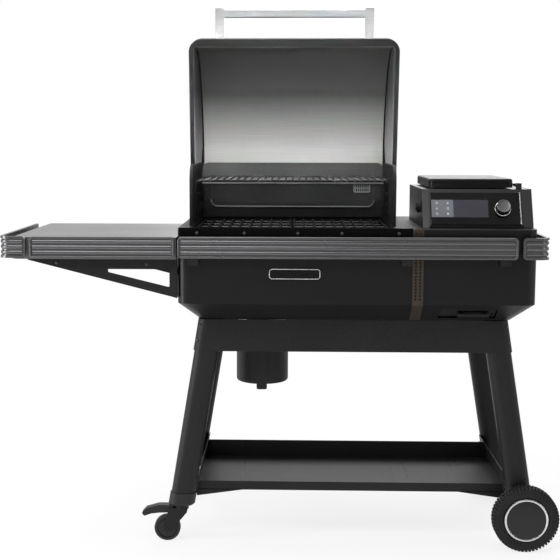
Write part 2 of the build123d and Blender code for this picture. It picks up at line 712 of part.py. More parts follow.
def bin_form(inset, waist, foot):
    """The bin's solid form: upright down to the waist, then narrowing to the auger."""
    upper = Pos((BIN_LEFT + BIN_RIGHT) / 2, (BIN_FRONT + BIN_BACK) / 2, waist) * Rectangle(
        BIN_RIGHT - BIN_LEFT - 2 * inset, BIN_BACK - BIN_FRONT - 2 * inset
    )
    lower = Pos(sum(BIN_OUTLET) / 2, AUGER_Y, foot) * Rectangle(
        BIN_OUTLET[1] - BIN_OUTLET[0] - 2 * inset, 36 - 2 * inset
    )
    return extrude(upper, HOPPER_TOP + 1 - waist) + loft([lower, upper])


def hopper_bin():
    """A straight bin that narrows to the auger's opening."""
    wall = 2.0
    top = HOPPER_TOP + 1
    waist = 800.0
    foot = AUGER_Z + AUGER_TUBE_RADIUS + 1
    opening = Pos(sum(BIN_OUTLET) / 2, AUGER_Y, foot) * Box(56, 32, 10)
    mouth = block(BIN_LEFT + wall, BIN_RIGHT - wall, BIN_FRONT + wall, BIN_BACK - wall, top - 5, top + 5)
    return bin_form(0, waist, foot) - bin_form(wall, waist, foot) - opening - mouth


GUARD_TOP = 902.0


def hopper_guard():
    """A wire guard across the bin that keeps fingers from the auger."""
    return wire_grid(BIN_LEFT + 3, BIN_RIGHT - 3, BIN_FRONT + 3, BIN_BACK - 3, GUARD_TOP, 8, 6, 2, 3)


def hopper_lid():
    """A softly domed lid that swings up about its right-hand edge."""
    z0 = HOPPER_TOP + 4
    lid = slab(LID_LEFT, LID_RIGHT, LID_FRONT, LID_BACK, z0, z0 + 24, 14)
    lid = fillet(lid.faces().sort_by(Axis.Z)[-1].edges(), 7)
    lid -= slab(LID_LEFT + 3, LID_RIGHT - 3, LID_FRONT + 3, LID_BACK - 3, z0 - 5, z0 + 14, 11)
    for y in LID_HINGE_YS:
        arm = rod_y(LID_HINGE_X, y - 10, y + 10, LID_HINGE_Z, 4.2)
        arm += block(LID_RIGHT - 6, LID_HINGE_X, y - 10, y + 10, LID_HINGE_Z + 0.5, LID_HINGE_Z + 4.2)
        lid += arm
        lid -= rod_y(LID_HINGE_X, y - 20, y + 20, LID_HINGE_Z, 2.5 + RUN_FIT)
    return lid


def control_panel():
    """A glossy face with a window for the display, a trim line and a collar for the knob."""
    width = 236.0
    height = 92.0
    face = on_panel(0, 0, 1.5 + TOUCH, Box(width, height, 3))
    face -= on_panel(DISPLAY_X, DISPLAY_Y, 3, Box(DISPLAY_WIDTH + 1, DISPLAY_HEIGHT + 1, 3))
    trim = on_panel(width / 2 + 1.5, 0, 2.5 + TOUCH, Box(3, height, 5))
    collar = on_panel(KNOB_X, KNOB_Y, 4.1 + TOUCH, Cylinder(22, 2.2))
    return face + trim + collar - on_panel(KNOB_X, KNOB_Y, 0, Cylinder(8.5, 60))


def display():
    return on_panel(DISPLAY_X, DISPLAY_Y, 2.3 + TOUCH, Box(DISPLAY_WIDTH, DISPLAY_HEIGHT, 1.4))


def encoder_shaft():
    """The push shaft that carries the knob."""
    return on_panel(KNOB_X, KNOB_Y, 4, Cylinder(4, 28)) + on_panel(KNOB_X, KNOB_Y, -9, Cylinder(8, 4))


KNOB_RADIUS = 18.5


def control_knob():
    """A cap with a knurled rim that turns on the push shaft."""
    knob = on_panel(KNOB_X, KNOB_Y, 16, Cylinder(KNOB_RADIUS, 16))
    flutes = []
    for i in range(36):
        turn = radians(i * 360 / 36)
        x = KNOB_X + (KNOB_RADIUS + 0.2) * cos(turn)
        y = KNOB_Y + (KNOB_RADIUS + 0.2) * sin(turn)
        flutes.append(on_panel(x, y, 14, Cylinder(0.8, 12)))
    return knob - flutes - on_panel(KNOB_X, KNOB_Y, 12, Cylinder(4 + RUN_FIT, 13))


def cleanout_gate():
    """The hopper's clean-out door, set back in its opening in the chamfer, with a pull bar."""
    x0, x1 = CLEANOUT_LEFT + 2, CLEANOUT_RIGHT - 2
    slope = CHAMFER_RUN_Y / (CHAMFER_TOP - BARREL_BOTTOM)
    y_top = BARREL_FRONT + slope * (CHAMFER_TOP - CLEANOUT_TOP)
    y_low = BARREL_FRONT + slope * (CHAMFER_TOP - CLEANOUT_BOTTOM)
    z_top = CLEANOUT_TOP - 1
    z_low = CLEANOUT_BOTTOM + 1
    back = 8.0
    plate = side_profile(
        [
            (y_top + back, z_top),
            (y_top + back + 4, z_top),
            (y_low + back + 4, z_low),
            (y_low + back, z_low),
        ],
        x0,
        x1,
    )
    plate -= block(462, 545, y_top - 5, y_low + 20, z_top - 10, z_top - 5)
    plate -= rod_y(555, y_top - 5, y_low + 30, CLEANOUT_BOTTOM + 13, 3)
    middle_y = (y_top + y_low) / 2
    bar = slab(462, 545, middle_y - 8, middle_y + 3, CLEANOUT_BOTTOM + 6, CLEANOUT_BOTTOM + 15, 4)
    stems = [
        block(x - 4, x + 4, middle_y, middle_y + 20, CLEANOUT_BOTTOM + 7, CLEANOUT_BOTTOM + 14)
        for x in (474, 533)
    ]
    return fused([plate, bar] + stems)


def power_switch():
    """A rocker in the back of the casing, on a round pivot that lies across it."""
    face = BARREL_BACK + 2
    rocker = block(SWITCH_X - 8, SWITCH_X + 8, BARREL_BACK - 5, face, SWITCH_Z - 11, SWITCH_Z + 11)
    rocker += block(SWITCH_X - 8, SWITCH_X + 8, face - 1, face + 2, SWITCH_Z + 2, SWITCH_Z + 11)
    return rocker + rod_x(SWITCH_X - 8.5, SWITCH_X + 8.5, BARREL_BACK - 3, SWITCH_Z, 4)


def probe_port_cover():
    """A round rubber cover over the probe sockets on the hopper's left side."""
    x = HOPPER_LEFT - TOUCH
    return rod_x(x - 8, x, 160, 935, 15) + rod_x(x - 11, x - 7, 160, 935, 10)


# ---- Rails, shelf and braces ----
BEAD = 6.0
GROOVE = 3.0
RIB_GAP = 4.0
RIB_FACE = 0.8
RIB_BULGE = 2.4
GROOVE_FACE = 4.4
RAIL_CORNER = 30.0
RAIL_END_RADIUS = 11.0


def rail_section(depth):
    """The rail's cross-section in Y and Z: a bead, three rounded ribs and a bead, with grooves."""
    rib = (RAIL_HEIGHT - 2 * BEAD - 2 * GROOVE - 2 * RIB_GAP) / 3
    shoulder = RIB_FACE + RIB_BULGE
    corner = (GROOVE_FACE, RAIL_BOTTOM + BEAD)
    edges = [Polyline((depth, RAIL_BOTTOM), (0, RAIL_BOTTOM), (0, RAIL_BOTTOM + BEAD), corner)]
    z = RAIL_BOTTOM + BEAD + GROOVE
    for _ in range(3):
        edges.append(Polyline(corner, (GROOVE_FACE, z), (shoulder, z)))
        edges.append(ThreePointArc((shoulder, z), (RIB_FACE, z + rib / 2), (shoulder, z + rib)))
        corner = (GROOVE_FACE, z + rib)
        edges.append(Line((shoulder, z + rib), corner))
        z += rib + RIB_GAP
    top = RAIL_TOP - BEAD
    edges.append(
        Polyline(corner, (GROOVE_FACE, top), (0, top), (0, RAIL_TOP), (depth, RAIL_TOP), (depth, RAIL_BOTTOM))
    )
    return make_face([edge for line in edges for edge in line.edges()])


def rail_border(x0, x1):
    """The rounded bead that runs round the face of one rail, seen from the front."""
    border = panel(x0, x1, 0, GROOVE_FACE + 1, RAIL_BOTTOM, RAIL_TOP, RAIL_END_RADIUS)
    border -= panel(
        x0 + BEAD, x1 - BEAD, -5, 20, RAIL_BOTTOM + BEAD, RAIL_TOP - BEAD, RAIL_END_RADIUS - BEAD
    )
    face = border.faces().sort_by(Axis.Y)[0]
    return fillet(face.edges(), 2)


def straight_rail(x0, x1):
    """A ribbed bar with rounded ends, bordered by a bead."""
    plane = Plane(origin=(x0, 0, 0), x_dir=(0, 1, 0), z_dir=(1, 0, 0))
    bar = extrude(plane * rail_section(RAIL_DEPTH), x1 - x0)
    bar = bar & panel(x0, x1, 2.2, RAIL_DEPTH + 1, RAIL_BOTTOM, RAIL_TOP, RAIL_END_RADIUS)
    ribs = extrude(plane * rail_section(RAIL_DEPTH), x1 - x0) & block(
        x0 + BEAD + GROOVE, x1 - BEAD - GROOVE, 0, 3, RAIL_BOTTOM + BEAD + 1, RAIL_TOP - BEAD - 1
    )
    ends = [
        block(x, x + GROOVE, -1, GROOVE_FACE, RAIL_BOTTOM + BEAD, RAIL_TOP - BEAD)
        for x in (x0 + BEAD, x1 - BEAD - GROOVE)
    ]
    return bar - ends + ribs + rail_border(x0, x1)


def front_rails():
    """The long rail before the barrel and the shorter one before the side shelf."""
    return [straight_rail(-283, 609.5), straight_rail(-675, -291)]


END_RAIL_RETURN = 72.0


def left_end_rail():
    """A rail that turns round the front corner and runs back along the shelf's side."""
    start = LEFT + END_RAIL_RETURN
    path = Wire(
        [
            Line((start, 0, 0), (LEFT + RAIL_CORNER, 0, 0)),
            RadiusArc((LEFT + RAIL_CORNER, 0, 0), (LEFT, RAIL_CORNER, 0), RAIL_CORNER),
            Line((LEFT, RAIL_CORNER, 0), (LEFT, RAIL_SIDE_LENGTH, 0)),
        ]
    )
    plane = Plane(origin=(start, 0, 0), x_dir=(0, 1, 0), z_dir=(1, 0, 0))
    bar = sweep(plane * rail_section(RAIL_SIDE_DEPTH), path)
    bar = bar & panel(
        LEFT - 40, start, -1, RAIL_SIDE_LENGTH + 1, RAIL_BOTTOM, RAIL_TOP, RAIL_END_RADIUS
    )
    bar -= block(start - BEAD - GROOVE, start, -1, GROOVE_FACE, RAIL_BOTTOM + BEAD, RAIL_TOP - BEAD)
    loop = panel(
        start - 60, start, 0, RAIL_SIDE_DEPTH, RAIL_BOTTOM, RAIL_TOP, RAIL_END_RADIUS
    ) - panel(
        start - 54, start - BEAD, -5, 20, RAIL_BOTTOM + BEAD, RAIL_TOP - BEAD, RAIL_END_RADIUS - BEAD
    )
    loop = loop & block(start - RAIL_END_RADIUS, start, -1, 20, RAIL_BOTTOM, RAIL_TOP)
    back_bead = block(
        LEFT, LEFT + RAIL_SIDE_DEPTH, RAIL_SIDE_LENGTH - BEAD, RAIL_SIDE_LENGTH, RAIL_BOTTOM, RAIL_TOP
    )
    return fused([bar, loop, back_bead])


def end_rails():
    """The end rail by the shelf and its mirror image by the hopper."""
    left = left_end_rail()
    right = left.mirror(Plane.YZ).translate((RIGHT_RAIL_EDGE + LEFT, 0, 0))
    return [left, right]


RAIL_BRACKETS = ((-256, -228), (307, 335), (564, 592))


def rail_brackets():
    """Angle brackets that carry the rails off the barrel, and arms for the end rails."""
    brackets = []
    foot_z = RAIL_BOTTOM - 17
    for x0, x1 in RAIL_BRACKETS:
        stem = block(x0, x1, RAIL_DEPTH + TOUCH, BARREL_FRONT - 0.2, foot_z, RAIL_TOP - 12)
        foot = block(x0, x1, 4, RAIL_DEPTH + 2, foot_z, RAIL_BOTTOM - TOUCH)
        brackets.append(stem + foot)
    rail_inner = RAIL_SIDE_DEPTH + TOUCH
    for y in (120.0, 400.0):
        brackets.append(block(BARREL_RIGHT + TOUCH, RIGHT_RAIL_EDGE - rail_inner, y - 20, y + 20, 815, 819))
        brackets.append(block(LEFT + rail_inner, SHELF_LEFT - TOUCH, y - 20, y + 20, 842, 846))
    return brackets


def side_shelf():
    """A deep folded tray, open below, with soft left-hand corners."""
    front = RAIL_DEPTH + 3
    outer = slab(SHELF_LEFT, SHELF_RIGHT + 20, front, SHELF_BACK, SHELF_FOOT, SHELF_TOP, 12)
    back = SHELF_BACK - SHEET
    inner = slab(
        SHELF_LEFT + SHEET, SHELF_RIGHT + 30, front + SHEET, back, SHELF_FOOT - 5, SHELF_TOP - SHEET, 10
    )
    right_wall = block(SHELF_RIGHT - SHEET, SHELF_RIGHT, front, SHELF_BACK, SHELF_FOOT, SHELF_TOP)
    beyond = block(SHELF_RIGHT, SHELF_RIGHT + 40, 0, SHELF_BACK + 10, SHELF_FOOT - 10, SHELF_TOP + 10)
    return outer - inner - beyond + right_wall


BRACE_YS = (30.0, 480.0)
BRACE_TIP = -685.0
BRACE_SCREWS = ((-608.0, 791.0), (-367.5, 788.0))


def brace_window(y0):
    """The rounded opening in one brace."""
    window = front_profile([(-471, 774), (-307, 774), (-307, 726), (-471, 766)], y0 - 5, y0 + 10)
    return fillet(window.edges().filter_by(Axis.Y), 3)


def shelf_braces():
    """Two triangular brackets, each with a window, that carry the side shelf off the barrel."""
    braces = []
    top = SHELF_FOOT - TOUCH
    right = BARREL_LEFT - 1
    foot = 697.0
    for y0 in BRACE_YS:
        outline = [(BRACE_TIP, top), (right, top), (right, foot), (BRACE_TIP, top - 3)]
        plate = front_profile(outline, y0, y0 + 4)
        plate -= brace_window(y0)
        flange = block(BRACE_TIP, right, y0, y0 + 24, top - 2.5, top)
        upright = block(right - 4, right, y0, y0 + 30, foot, top)
        braces.append(fused([plate, flange, upright]))
    return braces


# ---- Legs, aprons and bottom shelf ----
def leg(side, y0, foot):
    """One splayed tube. side is -1 for a left leg and 1 for a right one."""
    centre_at_foot = LEG_CENTRE + side * (LEG_CENTRE_AT_APRON + LEG_SPLAY * (APRON_BOTTOM - foot))
    height = BARREL_BOTTOM - TOUCH - foot
    length = height * hypot(1, LEG_SPLAY)
    lean = (-side * LEG_SPLAY, 0, 1)

    def tube(inset):
        outline = RectangleRounded(LEG_WIDTH - 2 * inset, LEG_DEPTH - 2 * inset, LEG_RADIUS - inset)
        return extrude(Pos(centre_at_foot, y0 + LEG_DEPTH / 2, foot) * outline, length, dir=lean)

    return tube(0) - tube(TUBE_WALL)


RIGHT_FOOT = 60.0


def legs():
    """Four tubes; the axle passes through the right-hand pair."""
    tubes = []
    for y0 in (LEG_FRONT, LEG_REAR_FRONT):
        tubes.append(leg(-1, y0, CASTER_TOP + 4))
        right = leg(1, y0, RIGHT_FOOT)
        tubes.append(right - rod_y(WHEEL_X, y0 - 5, y0 + LEG_DEPTH + 5, WHEEL_RADIUS, 6 + RUN_FIT))
    return tubes


CAP_HEIGHT = 36.0


def leg_caps():
    """Moulded feet on the left legs that hold the casters' stems."""
    caps = []
    lean = (LEG_SPLAY, 0, 1)
    for y in CASTER_YS:
        outline = RectangleRounded(LEG_WIDTH + 6, LEG_DEPTH + 6, LEG_RADIUS + 3)
        hole = RectangleRounded(LEG_WIDTH + 2 * TOUCH, LEG_DEPTH + 2 * TOUCH, LEG_RADIUS)
        cap = extrude(Pos(CASTER_X, y, CASTER_TOP) * outline, CAP_HEIGHT, dir=lean)
        cap = chamfer(cap.faces().sort_by(Axis.Z)[0].edges(), 5)
        cap -= extrude(Pos(CASTER_X + LEG_SPLAY * 4, y, CASTER_TOP + 4 - TOUCH) * hole, CAP_HEIGHT, dir=lean)
        caps.append(cap - rod_z(CASTER_X, y, CASTER_TOP - 5, CASTER_TOP + 10, 6 + RUN_FIT))
    return caps


APRON_SHEET = 2.5


def apron_form(inset, y0, y1, face):
    """A skirt's solid form: sloping ends that follow the legs, rounded along the outer face."""
    top = BARREL_BOTTOM - TOUCH + (20 if inset else 0)
    foot = APRON_BOTTOM - (20 if inset else 0)
    half = LEG_CENTRE_AT_APRON + LEG_WIDTH / 2 + TOUCH + APRON_SHEET - inset
    reach_top = half - LEG_SPLAY * (top - APRON_BOTTOM)
    reach_foot = half - LEG_SPLAY * (foot - APRON_BOTTOM)
    outline = [
        (LEG_CENTRE - reach_foot, foot),
        (LEG_CENTRE - reach_top, top),
        (LEG_CENTRE + reach_top, top),
        (LEG_CENTRE + reach_foot, foot),
    ]
    form = front_profile(outline, y0, y1)
    upright = [e for e in form.edges() if abs(e.tangent_at(0).Z) > 0.5 and abs(e.center().Y - face) < 0.1]
    return fillet(upright, LEG_RADIUS + APRON_SHEET - inset)


def leg_aprons():
    """Front and rear skirts that wrap round the tops of the legs."""
    clear = TOUCH + APRON_SHEET
    front_y = LEG_FRONT - clear
    front_back = LEG_FRONT + LEG_DEPTH
    front = apron_form(0, front_y, front_back, front_y)
    front -= apron_form(APRON_SHEET, front_y + APRON_SHEET, front_back + 5, front_y + APRON_SHEET)
    rear_y = LEG_REAR_FRONT + LEG_DEPTH + clear
    rear = apron_form(0, LEG_REAR_FRONT, rear_y, rear_y)
    rear -= apron_form(APRON_SHEET, LEG_REAR_FRONT - 5, rear_y - APRON_SHEET, rear_y - APRON_SHEET)
    return [front, rear]


END_SEAM = 125.0
SHELF_HALF = LEG_INNER_HALF + LEG_SPLAY * (APRON_BOTTOM - BOTTOM_SHELF_TOP) - 1
SHELF_SHEET = 2.0
FENCE_TOP = BOTTOM_SHELF_TOP + 47
SKIRT_FOOT = BOTTOM_SHELF_TOP - 25
WALL_FOOT = CASTER_TOP + CAP_HEIGHT + 1.5


def bottom_shelf():
    """The middle of the storage shelf: a tray with a front lip, a rear fence and pressed grooves."""
    x0 = LEG_CENTRE - SHELF_HALF + END_SEAM
    x1 = LEG_CENTRE + SHELF_HALF - END_SEAM
    y0 = BOTTOM_SHELF_FRONT
    y1 = BOTTOM_SHELF_BACK
    tray = block(x0, x1, y0, y1, BOTTOM_SHELF_TOP - SHELF_SHEET, BOTTOM_SHELF_TOP)
    tray += block(x0, x1, y0, y0 + SHELF_SHEET, SKIRT_FOOT, BOTTOM_SHELF_TOP)
    fence = block(x0, x1, y1 - SHELF_SHEET, y1, BOTTOM_SHELF_TOP - 20, FENCE_TOP)
    grooves = [
        block(x - 1.5, x + 1.5, y0 + 25, y1 - 25, BOTTOM_SHELF_TOP - 1, BOTTOM_SHELF_TOP + 5)
        for x in (LEG_CENTRE + 125, LEG_CENTRE + 165)
    ]
    return tray + fence - grooves


def shelf_end(side):
    """One end of the storage shelf, which follows the legs' slope. side is -1 left or 1 right."""
    y0 = BOTTOM_SHELF_FRONT
    y1 = BOTTOM_SHELF_BACK
    seam = LEG_CENTRE + side * (SHELF_HALF - END_SEAM + TOUCH)

    def edge(z):
        return LEG_CENTRE + side * (SHELF_HALF - LEG_SPLAY * (z - BOTTOM_SHELF_TOP))

    def sloped(front, back, foot, top):
        return front_profile([(seam, top), (edge(top), top), (edge(foot), foot), (seam, foot)], front, back)

    wall = front_profile(
        [
            (edge(FENCE_TOP) - side * SHELF_SHEET, FENCE_TOP),
            (edge(FENCE_TOP), FENCE_TOP),
            (edge(WALL_FOOT), WALL_FOOT),
            (edge(WALL_FOOT) - side * SHELF_SHEET, WALL_FOOT),
        ],
        LEG_FRONT + LEG_DEPTH / 2,
        LEG_REAR_FRONT + LEG_DEPTH / 2,
    )
    top = sloped(y0, y1, BOTTOM_SHELF_TOP - SHELF_SHEET, BOTTOM_SHELF_TOP)
    skirt = sloped(y0, y0 + SHELF_SHEET, SKIRT_FOOT, BOTTOM_SHELF_TOP)
    fence = sloped(y1 - SHELF_SHEET, y1, BOTTOM_SHELF_TOP - 20, FENCE_TOP)
    return fused([top, skirt, fence, wall])


def shelf_ends():
    """End pieces that join the storage shelf to the legs, with a side wall from leg to leg."""
    return [shelf_end(-1), shelf_end(1)]


# ---- Wheels and casters ----
HUB_RADIUS = 60.0


def wheel_axle():
    """One rod through both right-hand legs, with a collar outside each wheel."""
    y0 = WHEEL_FRONTS[0] + 2
    y1 = WHEEL_FRONTS[1] + WHEEL_WIDTH - 2
    axle = rod_y(WHEEL_X, y0, y1, WHEEL_RADIUS, 6)
    collars = [rod_y(WHEEL_X, y, y + 4, WHEEL_RADIUS, 11) for y in (y0, y1 - 4)]
    return fused([axle] + collars)


def tyre(y0):
    """A broad rubber ring with rounded shoulders."""
    middle = y0 + WHEEL_WIDTH / 2
    ring = rod_y(WHEEL_X, y0, y0 + WHEEL_WIDTH, WHEEL_RADIUS, WHEEL_RADIUS)
    ring = fillet(ring.edges(), 9)
    return ring - rod_y(WHEEL_X, middle - 40, middle + 40, WHEEL_RADIUS, HUB_RADIUS + TOUCH)


def hub(y0):
    """A dished disc that runs on the axle, hollow between its two faces."""
    near = y0 + 4
    far = y0 + WHEEL_WIDTH - 4
    disc = rod_y(WHEEL_X, near, far, WHEEL_RADIUS, HUB_RADIUS)
    for side_y in (near, far):
        ring = rod_y(WHEEL_X, side_y - 4, side_y + 4, WHEEL_RADIUS, HUB_RADIUS - 8)
        disc -= ring - rod_y(WHEEL_X, side_y - 5, side_y + 5, WHEEL_RADIUS, 20)
        disc -= rod_y(WHEEL_X, side_y - 5, side_y + 5, WHEEL_RADIUS, 12)
    hollow = rod_y(WHEEL_X, near + 8, far - 8, WHEEL_RADIUS, HUB_RADIUS - 5)
    disc -= hollow - rod_y(WHEEL_X, near, far, WHEEL_RADIUS, 14)
    return disc - rod_y(WHEEL_X, y0 - 5, y0 + WHEEL_WIDTH + 5, WHEEL_RADIUS, 6 + RUN_FIT)


def front_tyre():
    return tyre(WHEEL_FRONTS[0])


def rear_tyre():
    return tyre(WHEEL_FRONTS[1])


def front_hub():
    return hub(WHEEL_FRONTS[0])


def rear_hub():
    return hub(WHEEL_FRONTS[1])


CASTER_WHEEL_WIDTH = 24.0
CHEEK_GAP = CASTER_WHEEL_WIDTH / 2 + 2
BRAKE_PIN = 3.0


def at_rear(shape):
    """Turns a piece of the front caster to trail backwards, and moves it to the rear leg."""
    turned = shape.rotate(Axis((CASTER_X, CASTER_YS[0], 0), (0, 0, 1)), -90)
    return turned.translate((0, CASTER_YS[1] - CASTER_YS[0], 0))


def fork_cheek(y0, y1):
    """One side of the fork: a horn that narrows from the crown to the wheel's pin."""
    cheek = front_profile(
        [
            (CASTER_X + 18, CASTER_TOP - 9),
            (CASTER_X + 16, CASTER_TOP - 20),
            (CASTER_WHEEL_X + 9, CASTER_RADIUS - 9),
            (CASTER_WHEEL_X - 9, CASTER_RADIUS - 7),
            (CASTER_WHEEL_X - 8, CASTER_RADIUS + 10),
            (BRAKE_X - 8, BRAKE_Z - 6),
            (BRAKE_X - 6, CASTER_TOP - 9),
        ],
        y0,
        y1,
    )
    return fillet(cheek.edges().filter_by(Axis.Y), 3)


def front_fork():
    """A stem, a crown under the leg cap, and two cheeks that hold the wheel's and the brake's pins."""
    y = CASTER_YS[0]
    side_y = CHEEK_GAP + 3
    pieces = [
        rod_z(CASTER_X, y, CASTER_TOP - 8, CASTER_TOP + 3, 6),
        rod_z(CASTER_X, y, CASTER_TOP - 12, CASTER_TOP - 1, 20),
        block(CASTER_X - 18, CASTER_X + 14, y - side_y, y + side_y, CASTER_TOP - 13, CASTER_TOP - 9),
        rod_y(CASTER_WHEEL_X, y - side_y - 1, y + side_y + 1, CASTER_RADIUS, 4),
        rod_y(BRAKE_X, y - CHEEK_GAP - 1, y + CHEEK_GAP + 1, BRAKE_Z, BRAKE_PIN),
    ]
    for side in (-1, 1):
        pieces.append(fork_cheek(*sorted((y + side * CHEEK_GAP, y + side * (CHEEK_GAP + 3)))))
    return fused(pieces)


def front_caster_wheel():
    """A moulded wheel with a soft tread, running on the fork's pin."""
    y = CASTER_YS[0]
    half = CASTER_WHEEL_WIDTH / 2
    wheel = rod_y(CASTER_WHEEL_X, y - half, y + half, CASTER_RADIUS, CASTER_RADIUS)
    wheel = fillet(wheel.edges(), 5)
    for face in (y - half, y + half):
        groove = rod_y(CASTER_WHEEL_X, face - 3, face + 3, CASTER_RADIUS, 28)
        wheel -= groove - rod_y(CASTER_WHEEL_X, face - 5, face + 5, CASTER_RADIUS, 24)
        wheel -= rod_y(CASTER_WHEEL_X, face - 1.5, face + 1.5, CASTER_RADIUS, 9)
    return wheel - rod_y(CASTER_WHEEL_X, y - 20, y + 20, CASTER_RADIUS, 4 + RUN_FIT)


def front_brake():
    """A thick curved foot pedal that tips down on its pin between the cheeks."""
    half = CASTER_WHEEL_WIDTH / 2 + 1
    y = CASTER_YS[0]
    tip = BRAKE_X - 81
    pedal = front_profile(
        [
            (tip, BRAKE_Z - 10),
            (tip + 6, BRAKE_Z - 19),
            (tip + 26, BRAKE_Z - 12),
            (BRAKE_X - 30, BRAKE_Z - 9),
            (BRAKE_X + 5, BRAKE_Z - 8),
            (BRAKE_X + 8, BRAKE_Z),
            (BRAKE_X + 5, BRAKE_Z + 13),
            (BRAKE_X - 34, BRAKE_Z + 13),
            (tip + 12, BRAKE_Z + 3),
        ],
        y - half,
        y + half,
    )
    pedal = fillet(pedal.edges().filter_by(Axis.Y), 2.5)
    return pedal - rod_y(BRAKE_X, y - 20, y + 20, BRAKE_Z, BRAKE_PIN + RUN_FIT)


def rear_fork():
    return at_rear(front_fork())


def rear_caster_wheel():
    return at_rear(front_caster_wheel())


def rear_brake():
    return at_rear(front_brake())


# ---- Grease and ash keg ----
def keg_collar():
    """The throat under the tub that the keg hangs from."""
    flange = rod_z(KEG_X, KEG_Y, KEG_TOP + 2, BARREL_BOTTOM - TOUCH, KEG_RADIUS - 6)
    throat = rod_z(KEG_X, KEG_Y, KEG_TOP - 12, TUB_BOTTOM + 2, COLLAR_RADIUS)
    return flange + throat - rod_z(KEG_X, KEG_Y, KEG_TOP - 20, TUB_BOTTOM + 5, COLLAR_RADIUS - 3)


def grease_keg():
    """A can with a rolled rim and a strap handle that hangs below it."""
    wall = 1.5
    can = rod_z(KEG_X, KEG_Y, KEG_BOTTOM, KEG_TOP, KEG_RADIUS)
    can = fillet(can.edges().sort_by(Axis.Z)[0], 8)
    can += rod_z(KEG_X, KEG_Y, KEG_TOP - 6, KEG_TOP, KEG_RADIUS + 3)
    can -= rod_z(KEG_X, KEG_Y, KEG_BOTTOM + wall, KEG_TOP + 5, KEG_RADIUS - wall)
    front = KEG_Y - KEG_RADIUS
    foot = KEG_BOTTOM - 13
    half = 14.5
    strap = panel(KEG_X - half, KEG_X + half, front - 3, front + 1, foot, KEG_BOTTOM + 110, 5)
    toe = block(KEG_X - half + 5, KEG_X + half - 5, front - 3, front + 22, foot, foot + 3)
    riser = block(KEG_X - half + 5, KEG_X + half - 5, front + 19, front + 22, foot, KEG_BOTTOM + 1)
    return fused([can, strap, toe, riser])


# ---- Fasteners ----
def apron_screw(side, z):
    """A screw head on the rounded front corner of the front apron, where it meets a leg."""
    outer_radius = LEG_RADIUS + APRON_SHEET
    half = LEG_CENTRE_AT_APRON + LEG_WIDTH / 2 + TOUCH + APRON_SHEET - LEG_SPLAY * (z - APRON_BOTTOM)
    x = LEG_CENTRE + side * (half - outer_radius)
    y = LEG_FRONT - TOUCH - APRON_SHEET + outer_radius
    return rod_out(x, y, z, side * 45, outer_radius + TOUCH, outer_radius + TOUCH + 2, 4)


def screws():
    """Round-headed screws on the lip, the front brace and the front apron."""
    heads = []
    face = BARREL_FRONT - 3 - TOUCH
    for x in LIP_SCREWS:
        heads.append(rod_y(x, face - 2, face, DECK_TOP - 11, 4.5))
    for side in (-1, 1):
        for z in (APRON_BOTTOM + 29, APRON_BOTTOM + 72):
            heads.append(apron_screw(side, z))
    for x, z in BRACE_SCREWS:
        heads.append(rod_y(x, BRACE_YS[0] - 2 - TOUCH, BRACE_YS[0] - TOUCH, z, 4.5))
    return heads


PIECES = (
    barrel_shell, deck_plate, chamber_tub, chamber_sides, chamber_back, rack_hangers, exhaust_duct,
    front_lip, vent_strip, name_plate, drip_tray, heat_baffle, fire_pot, igniter, auger_tube, auger,
    auger_motor, blower_housing, blower_wheel, lower_grates, upper_rack, hood_shell, hood_liner,
    hood_handle, hood_hinges, hopper_housing, hopper_bin, hopper_guard, hopper_lid, control_panel,
    display, encoder_shaft, control_knob, cleanout_gate, power_switch, probe_port_cover, front_rails,
    end_rails, rail_brackets, side_shelf, shelf_braces, legs, leg_caps, leg_aprons, bottom_shelf,
    shelf_ends, wheel_axle, front_tyre, front_hub, rear_tyre, rear_hub, front_fork, front_caster_wheel,
    front_brake, rear_fork, rear_caster_wheel, rear_brake, keg_collar, grease_keg, screws,
)


def solids_of(made):
    """The separate solids that a piece's function returned."""
    if isinstance(made, list):
        return [solid for item in made for solid in solids_of(item)]
    return list(made.solids())


def main():
    os.makedirs("parts", exist_ok=True)
    built = {piece.__name__: solids_of(piece()) for piece in PIECES}
    boxes = [solid.bounding_box() for solids in built.values() for solid in solids]
    middle_x = (min(b.min.X for b in boxes) + max(b.max.X for b in boxes)) / 2
    middle_y = (min(b.min.Y for b in boxes) + max(b.max.Y for b in boxes)) / 2
    print("middle of the width:", round(middle_x, 4), "middle of the depth:", round(middle_y, 4))
    for name, solids in built.items():
        moved = [solid.translate((-middle_x, -middle_y, 0)) for solid in solids]
        shape = moved[0] if len(moved) == 1 else Compound(children=moved)
        export_step(shape, f"parts/{name}.step")


main()
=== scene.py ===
import json
import math

import bmesh
import bpy
from mathutils import Matrix, Vector


